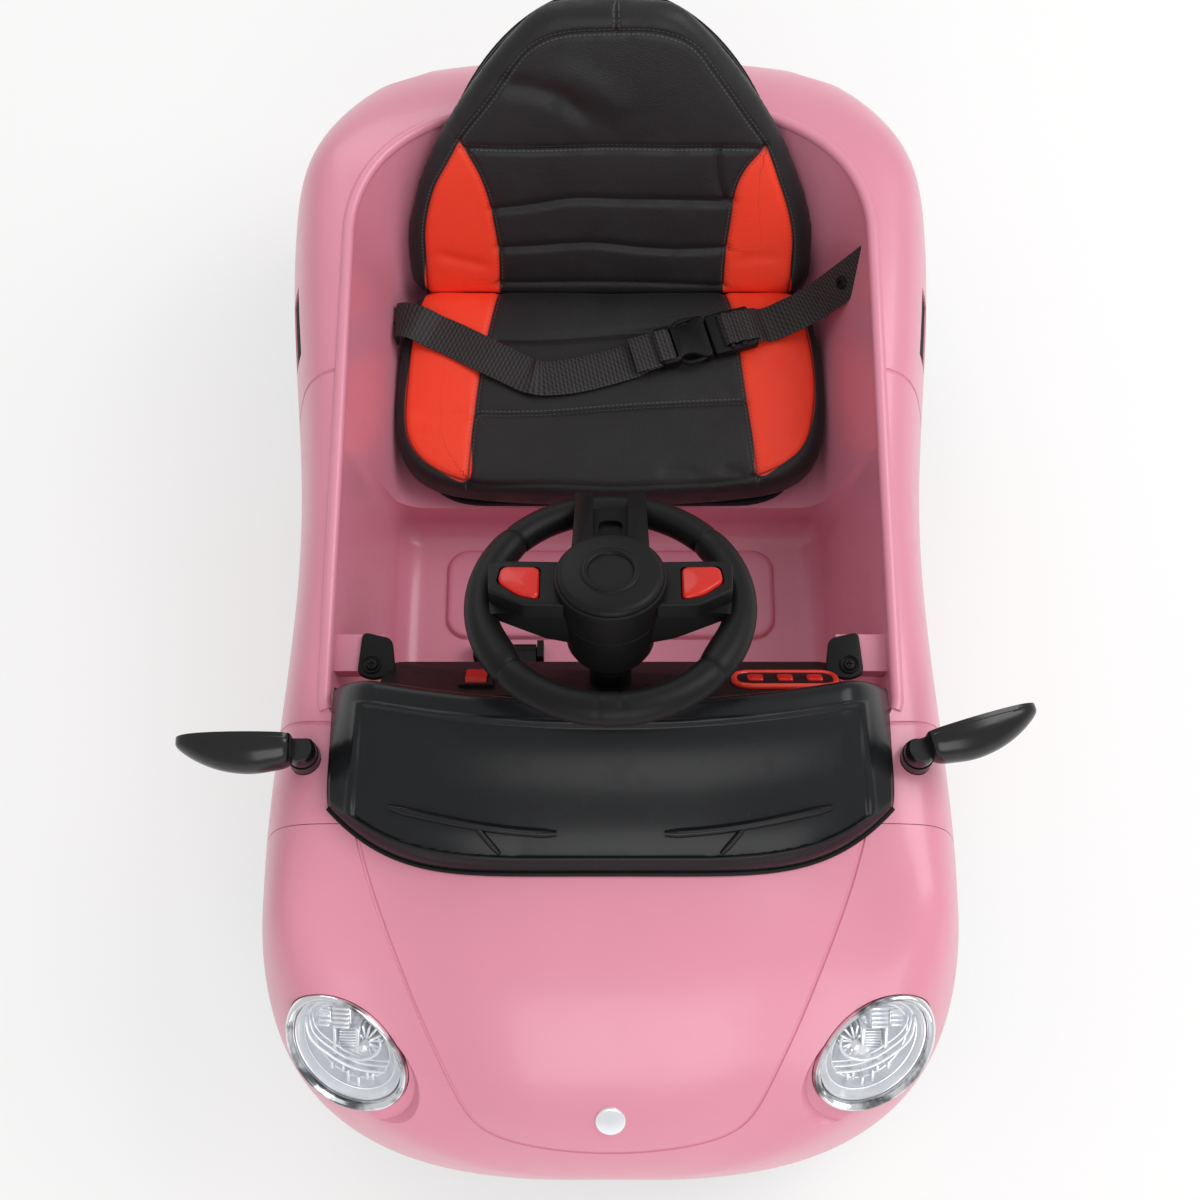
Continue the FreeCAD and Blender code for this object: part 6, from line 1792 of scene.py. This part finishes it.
def lamp_details():
    """Louvres, a ribbed panel, a fan of facets, arcs and a bulb, upright as the driver of the next car sees them."""
    parts = [plate(-6.6, 25, 17, 22, -32, -15), plate(-22, 21.5, 12, 15, -32, -17)]
    parts += [plate(-6.6, 17.2 + step * 4.0, 14.5, 2.2, -16, -11) for step in range(5)]
    parts += [plate(-22, 17.2 + step * 4.2, 9.5, 2.0, -18, -13.5) for step in range(3)]
    for inset, z, thick in ((0.0, -8.5, 1.3), (3.4, -12.0, 1.1), (6.4, -15.0, 0.9)):
        parts.append(tube(spline([(x + inset / 2, y + inset, z) for x, y in SWEEP], 48), thick, 10))
    parts.append(tube(spline([(x, y, -11.5) for x, y in SMALL_RIM], 40), 1.4, 10))
    parts += [plate(7.3, 5.5, 3.0, 23, -32, -10), plate(-13.2, 3.5, 2.4, 24, -32, -13)]
    parts.append(plate(-3, 1, 16, 19, -32, -22))
    parts += [plate(-3, -6.5 + step * 2.5, 15, 1.1, -23, -19.4) for step in range(7)]
    for step in range(9):
        angle = math.radians(-70 + step * 24)
        x, y = 12.5 + 9 * math.cos(angle), 0.5 + 9 * math.sin(angle)
        parts.append(plate(x, y, 11, 1.9, -32, -16.5 - (step % 2) * 2, math.degrees(angle)))
    bulb = spun([(0.01, -8.6), (3.2, -9.4), (4.6, -12), (4.4, -20), (5.4, -21), (5.4, -31), (0.01, -31)], 32)
    parts.append((bulb[0] + np.array([12.0, -1.0, 0.0]), bulb[1]))
    parts += [plate(x, y, 2.2, tall, -30, -9.5) for x, y, tall in DRIPS]
    return together(*parts)


def lamp_moulding():
    points, faces = on(LAMP_UPRIGHT, lamp_details())
    return together(lamp_oval(spun(BOWL_PROFILE, 120)), (bowed(points * (0.94, 0.94, 1)), faces))


def tail_place(side):
    return facing(on_side(TAIL_AT, side), on_side(TAIL_WAY, side))


def both(place, shape):
    """A lamp piece on both sides of the car."""
    return together(*[on(place(side), shape) for side in (1, -1)])


bezels = solid("headlight_bezels", *both(lamp_place, lamp_oval(spun(BEZEL_PROFILE, 144))))
dress(bezels, plated, "car_body", "chrome", "headlight_bezels", angle=math.radians(50))
lenses = solid("headlight_lenses", *both(lamp_place, lamp_oval(spun(LENS_PROFILE, 120))))
dress(lenses, lamp_clear, "car_body", "clear", "headlight_lenses", angle=math.radians(60))
mouldings = solid("headlight_mouldings", *both(lamp_place, lamp_moulding()))
dress(mouldings, lamp_silver, "car_body", "chrome", "headlight_reflectors")

# %% [markdown]
# ## Tail lamps and nose stud
# The tail lamps are red domes with moulded rings, turned from one profile. A plain stud sits on the nose,
# tilted to lie along the skin.

# %% Tail lamps and nose stud
TAIL_PROFILE = [(0.01, -13.6), (28.6, -13.6), (28.9, -1.0), (28.0, 0.4)]
for step in range(24):
    reach = 27.4 * (1 - step / 24)
    TAIL_PROFILE.append((max(reach, 0.01), 0.6 + 4.6 * (1 - (reach / 28) ** 2) + 0.35 * math.cos(step * math.pi / 2)))
tails = solid("tail_lamp_domes", *both(tail_place, spun(TAIL_PROFILE, 96)))
dress(tails, lamp_red, "car_body", "lamp_red", "tail_lamps", angle=math.radians(50))
STUD_Y = -484.0
stud_spot = Vector((0, STUD_Y, top_height(0, STUD_Y)))
stud_way = Vector((0, -(top_height(0, STUD_Y + 6) - top_height(0, STUD_Y - 6)), 12))
stud_line = [(12 * math.cos(a), 14 * math.sin(a)) for a in np.linspace(0, 2 * math.pi, 48, endpoint=False)]
stud = solid("blank_badge_stud", *on(facing(stud_spot, stud_way), slab(stud_line, -1.5, 2.2, 1.2, 0.5)))
dress(stud, lamp_silver, "car_body", "chrome", angle=math.radians(60))

# %% [markdown]
# ## Mirrors
# Each housing is a wedge, lofted from its stem to its tip. A film of mirror lies inside a thin rim: the same
# loft, a little smaller, cut to a slice, so that it follows the housing's edge.

# %% Mirrors
MIRROR_GLASS, MIRROR_MIDDLE = 8.0, 23.0
MIRROR_ROWS = (  # reach, depth, half the height
    (5, 12, 15), (7, 17, 18.6), (12, 19.8, 20.6), (20, 21.6, 21.8), (34, 23.8, 22.6), (48, 23.6, 22.4),
    (62, 21.2, 21.2), (74, 17.2, 19.2), (84, 12.4, 16.2), (91, 8.0, 12.2), (95.5, 4.4, 7.6), (97, 2.6, 4.6),
)  # fmt: skip


def mirror_form(side, shrink, sides=36):
    """A mirror housing: flat behind, domed ahead, deep at the stem and drawn to a tip."""
    rings = []
    for x, deep, half in spline(MIRROR_ROWS, 61):
        x = mix(x, 51, shrink / 46)
        half, deep = max(half - shrink, 0.8), max(deep - shrink, 0.8)
        arc = np.linspace(-math.pi / 2, math.pi / 2, sides)
        line = [(-4.2 - deep * math.cos(t), 0.97 * half * math.sin(t)) for t in arc]
        line += [(-3.6, half), (0.0, half), (0.0, -half), (-3.6, -half)]
        rings.append([(side * x, MIRROR_GLASS + y, MIRROR_MIDDLE + z) for y, z in line])
    return loft(rings)


for name, side, swing in (("left", 1, 17), ("right", -1, 0)):
    swung = Matrix.Rotation(math.radians(side * swing), 4, "Z")
    mirror_place = Matrix.Translation(Vector((side * MIRROR_OUT, MIRROR_Y, 336))) @ swung
    housing = solid(name + "_mirror_housing", *mirror_form(side, 0))
    knob = spun([(0.01, 6.4), (11, 6.4), (12, 7.4), (12, 22), (10, 25), (0.01, 25)], 48)
    carve(housing, solid("knob", *knob), "UNION")
    carve(housing, box_form("behind", (-150, MIRROR_GLASS - 0.2, -60), (150, 90, 90)))
    recess = solid("recess", *mirror_form(side, 2.6))
    carve(recess, box_form("shallow", (-150, -90, -60), (150, 5.6, 90)))
    carve(housing, recess)
    film = solid(name + "_mirror_film", *mirror_form(side, 2.9))
    carve(film, box_form("front", (-150, -90, -60), (150, 5.7, 90)))
    carve(film, box_form("rear", (-150, 6.6, -60), (150, 90, 90)))
    carve(film, solid("pin_room", *spun([(0.01, 5), (6.2, 5), (6.2, 26), (0.01, 26)], 32)))
    carve(housing, solid("pin_room", *spun([(0.01, 5), (5.3, 5), (5.3, 24.6), (0.01, 24.6)], 32)))
    for thing in (housing, film):
        put_back(thing, moved(coordinates(thing), mirror_place))
    dress(housing, gloss_black, "mirror_" + name, "trim_black", name + "_mirror", angle=math.radians(40))
    dress(film, mirror_film, "mirror_" + name, "trim_black")
print("lamps, stud and mirrors done")

# %% [markdown]
# ## Wheels
# Hard plastic tyres with moulded blocks, and silver caps with five windows. A tread could be cut block by
# block; instead each point of a lathed ring drops by a groove's depth where a groove runs, so the pattern is
# one sum over angle and width.

# %% Wheels
WHEEL_RADIUS, WHEEL_OUT, BLOCKS = 95.0, 251, 34
RING_GROOVE = 62 / 6  # a sixth of the tyre's width from its middle
TYRE_PROFILE = [(6.6, -31), (24, -31), (24, 7), (79, 7), (79, -31), (83, -31), (87, -29.8), (91.6, -27)]
TYRE_PROFILE += [(WHEEL_RADIUS, x) for x in np.linspace(-24, 24, 49)]
TYRE_PROFILE += [
    (91.6, 27), (87, 29.8), (83, 30.6), (80, 30.2), (78, 30.9), (64, 30.9), (61, 29.6), (60.4, 27), (60.4, 16.9),
    (24, 16.9), (24, 7.15), (6.6, 7.15),
]  # fmt: skip


def tread_drop(turn, x):
    """How deep the tread lies below the tyre's round, in millimetres."""
    if abs(x) > 28:
        return 0.0
    ring_groove = 3.0 * ease((3.2 - abs(abs(x) - RING_GROOVE)) / 1.4)
    pitch = turn / (2 * math.pi) * BLOCKS + abs(x) * 0.022
    slot = abs(pitch % 1 - 0.5) * 2
    cross_groove = 2.6 * ease((slot - 0.74) / 0.12) * ease((abs(x) - 7) / 2)
    sipe = 0.9 * ease((0.16 - abs((pitch * 2) % 1 - 0.5) * 2) / 0.1) * ease((7.5 - abs(x)) / 2)
    return max(ring_groove, cross_groove, sipe)


def tyre_form(turns=BLOCKS * 16):
    rings = []
    for turn in np.linspace(0, 2 * math.pi, turns, endpoint=False):
        ring = []
        for radius, x in TYRE_PROFILE:
            reach = radius - (tread_drop(turn, x) if radius > 91 else 0.0)
            ring.append((reach * math.cos(turn), reach * math.sin(turn), x))
        rings.append(ring)
    return hoop(rings)


CAP_PROFILE = (
    (0.01, 26.8), (12.6, 26.6), (15.2, 25.4), (17.2, 22.4), (20, 21.2), (24, 20.9), (46, 20.4), (50, 21.0),
    (54, 22.6), (57, 22.8), (58.8, 21.8), (59.6, 19.8), (59.6, 17.1), (0.01, 17.1),
)  # fmt: skip
CAP_WINDOW = ((28, -6), (47, -11), (49, 0), (47, 11), (28, 6))
tyre_shape = tyre_form()
WHEELS = (
    ("front_left", 1, FRONT_AXLE),
    ("front_right", -1, FRONT_AXLE),
    ("rear_left", 1, REAR_AXLE),
    ("rear_right", -1, REAR_AXLE),
)
for name, side, y in WHEELS:
    wheel_place = placed((side * WHEEL_OUT, y, AXLE_UP), 90 * side, "Y")
    tyre = solid(name + "_tyre", *on(wheel_place, tyre_shape))
    dress(tyre, tyre_black, name, "tyre_black", name + "_wheel", angle=math.radians(30))
    cap = solid(name + "_cap", *spun(CAP_PROFILE, 120))
    for step in range(5):
        turn = math.radians(90 + 72 * step)
        cos, sin = math.cos(turn), math.sin(turn)
        line = [(p * cos - q * sin, p * sin + q * cos) for p, q in CAP_WINDOW]
        carve(cap, solid("window", *slab(eased(line, 4), 10, 40)))
    soften(cap, 0.8, 2)
    put_back(cap, moved(coordinates(cap), wheel_place))
    dress(cap, hub_silver, name, "hub_silver", name + "_hubcap", angle=math.radians(40))
print("wheels done", len(tyre_shape[0]), "points each")

# %% [markdown]
# ## Side vents
# Each rear fender has a vent. A dark patch could stand for it, but from the side its depth shows, so slats
# are swept along the skin over a dark backing.

# %% Side vents
VENT_Y, VENT_LONG, SLATS = 206.0, 68.0, 7


def side_reach(y, z):
    """The skin's distance from the car's middle plane at a height."""
    ring = section(y, count=240)
    half = ring[(ring[:, 0] > 150) & (ring[:, 2] > 180)]
    order = np.argsort(half[:, 2])
    return float(np.interp(z, half[order, 2], half[order, 0]))


def vent_bar(side, low, high, front, back):
    """A bar along the vent, its face a little inside the skin; low and high are the heights ahead and behind."""
    rings = []
    for y in np.linspace(VENT_Y - VENT_LONG / 2 - 3, VENT_Y + VENT_LONG / 2 + 3, 24):
        line = [(front, high[0]), (front, low[0]), (back, low[1]), (back, high[1])]
        rings.append([(side * (side_reach(y, z) - sink), y, z) for sink, z in line])
    return loft(rings)


slats, backing = [], []
pitch = (VENT_TOP - VENT_LOW) / SLATS
for side in (1, -1):
    backing.append(vent_bar(side, (VENT_LOW - 4,) * 2, (VENT_TOP + 4,) * 2, 8, 11))
    for step in range(SLATS):
        z = VENT_LOW + (step + 0.5) * pitch
        slats.append(vent_bar(side, (z - 1.6, z + 0.4), (z - 0.2, z + 2.2), 1.4, 8.4))
vents = solid("vent_slats", *together(*backing, *slats))
dress(vents, satin_black, "car_body", "satin_black", "side_vents")

# %% [markdown]
# ## Pedal spring
# A coil of plated wire lifts the pedal. The CAD's coil could stay, but it is stiff, and the pedal would press
# through it. The same coil is wound here along a helix.

# %% Pedal spring
SPRING_FOOT, SPRING_TALL = Vector((-96.0, -112.0, 117.0)), 17.57
SPRING_RADIUS, SPRING_WIRE, SPRING_TURNS = 7.0, 0.8, 5
wound = np.linspace(0, 2 * math.pi * SPRING_TURNS, 24 * SPRING_TURNS + 1)
climb = SPRING_TALL * wound / wound[-1]
helix = np.stack([SPRING_RADIUS * np.cos(wound), SPRING_RADIUS * np.sin(wound), climb], axis=1)
helix += np.array(SPRING_FOOT)
coil = dress(solid("pedal_coil", *tube(helix, SPRING_WIRE, 10)), steel, "car_body", "steel", "pedal_spring")
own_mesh(coil)

# %% [markdown]
# ## Cabin screws
# Screws hold the dash ears and the belt's two ends. The CAD's plain heads could stay, but its straps run a
# little differently, so the screws are turned again with domed, crossed heads, each through what it holds.

# %% Cabin screws
def screw(head, tall, deep):
    """A screw about its own axis: a domed head with a crossed recess above a plain shank."""
    line = [(0.01, -deep), (1.5, -deep), (2.0, 0.8 - deep), (2.0, 0.0), (head, 0.0), (head, 0.5 * tall),
            (0.86 * head, 0.82 * tall), (0.5 * head, 0.97 * tall), (0.01, tall)]  # fmt: skip
    thing = solid("screw", *spun(line, 48))
    for half, wide in ((0.5 * head, 0.65), (0.65, 0.5 * head)):
        cross = [(-half, -wide), (half, -wide), (half, wide), (-half, wide)]
        carve(thing, solid("recess", *slab(eased(cross, 0.3), 0.4 * tall, tall + 2)))
    shape = coordinates(thing), [tuple(face.vertices) for face in thing.data.polygons]
    bpy.data.objects.remove(thing)
    return shape


STRAP_WAY = Vector((-0.76, -0.37, 0.53))
screws = []
for side in (1, -1):
    ear_place = Matrix.Translation((side * EAR_SCREW_OUT, EAR_SCREW_Y, 320.1))
    screws.append(on(ear_place, screw(5.0, 3.0, 17.0)))
screws.append(on(facing((-201.7, 250, 213), (1, 0, 0)), screw(7.0, 2.5, 9.8)))
screws.append(on(facing(Vector((213.0, 255.7, 280.9)) + STRAP_WAY * 1.15, STRAP_WAY), screw(6.0, 2.2, 12.0)))
dress(solid("screw_set", *together(*screws)), satin_black, "car_body", "satin_black", "cabin_screws")

# %% [markdown]
# ## Solids that stay
# The tray, axles, drives, battery and pedal are already right in the CAD, so they only take a finish.

# %% Solids that stay
CARRIED = (
    (satin_black, ("chassis_tray", "switch_frame", "gearbox_left", "gearbox_right", "battery", "control_box",
                   "pedal_bracket", "pedal", "steering_bush")),
    (cover_black, ("mirror_bases",)),
    (button_red, ("power_rocker",)),
    (gear_white, ("drive_gear_left", "drive_gear_right")),
    (steel, ("front_axle_beam", "rear_axle", "motor_left", "motor_right", "steering_shaft",
             "left_knuckle", "right_knuckle", "tie_rod", "pinion_left", "pinion_right")),
)  # fmt: skip
for finish, names in CARRIED:
    for name in names:
        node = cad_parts[name]
        node.data.materials.clear()
        node.data.materials.append(finish)
shown = [name for name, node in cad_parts.items() if not node.hide_render]
print("solids shown as they are", len(shown), sorted(set(shown) - {n for _, names in CARRIED for n in names}))

# %% [markdown]
# ## Studio
# A plain pale floor and a large soft lamp from the driver's left, with weaker fill, light the car at a
# level where colours render as written. The floor glows slightly for the camera, so it stays pale.

# %% Floor and light
def floor_finish():
    finish = Finish("studio_floor", Roughness=0.9)
    finish.feed("Base Color", colour(244, 244, 243))
    path = finish.node("ShaderNodeLightPath")
    seen = path.out("Is Camera Ray") + path.out("Is Glossy Ray") + path.out("Is Transmission Ray")
    glow = finish.node("ShaderNodeEmission", {}, {"Color": (1, 1, 1, 1), "Strength": 1.0})
    share = finish.ramp(seen, 0.0, 1.0) * 0.55
    mixed = finish.node("ShaderNodeMixShader", {}, {0: share})
    finish.tree.links.new(finish.shader.outputs[0], mixed.made.inputs[1])
    finish.tree.links.new(glow.socket, mixed.made.inputs[2])
    ending = finish.tree.nodes["Material Output"]
    finish.tree.links.new(mixed.socket, ending.inputs["Surface"])
    return finish.material


def lamp(name, spot, aim, size, power):
    light = bpy.data.lights.new(name, "AREA")
    light.size = size
    light.energy = power
    thing = bpy.data.objects.new(name, light)
    thing.location = spot
    thing.rotation_euler = (Vector(aim) - Vector(spot)).to_track_quat("-Z", "Y").to_euler()
    bpy.context.scene.collection.objects.link(thing)


STUDIO_HALF = 9000
floor_corners = [(x * STUDIO_HALF, y * STUDIO_HALF, 0) for x, y in ((-1, -1), (1, -1), (1, 1), (-1, 1))]
floor = solid("studio_floor", floor_corners, [(0, 1, 2, 3)])
floor.location.z = -0.0005
floor.data.materials.append(floor_finish())
floor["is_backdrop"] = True
lamp("soft_left", (1.7, 0.5, 2.3), (0, 0, 0.2), 1.6, 30)
lamp("soft_front", (0.3, -2.2, 1.7), (0, 0, 0.2), 1.6, 20)
lamp("soft_back", (-0.8, 2.2, 1.6), (0, 0, 0.2), 1.4, 9)
world = bpy.data.worlds.new("studio")
bpy.context.scene.world = world
world.use_nodes = True
world.node_tree.nodes["Background"].inputs["Color"].default_value = (1, 1, 1, 1)
world.node_tree.nodes["Background"].inputs["Strength"].default_value = 0.62
bpy.context.scene.view_settings.view_transform = "Standard"
print("studio lit")

# %% [markdown]
# ## Measures
# The CAD part's box and the dressed car's box are both printed.

# %% Sizes
visual_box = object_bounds()
for label, box in (("cad", cad_box), ("visual", visual_box)):
    print(label, [round(v, 3) for v in box[1] - box[0]])
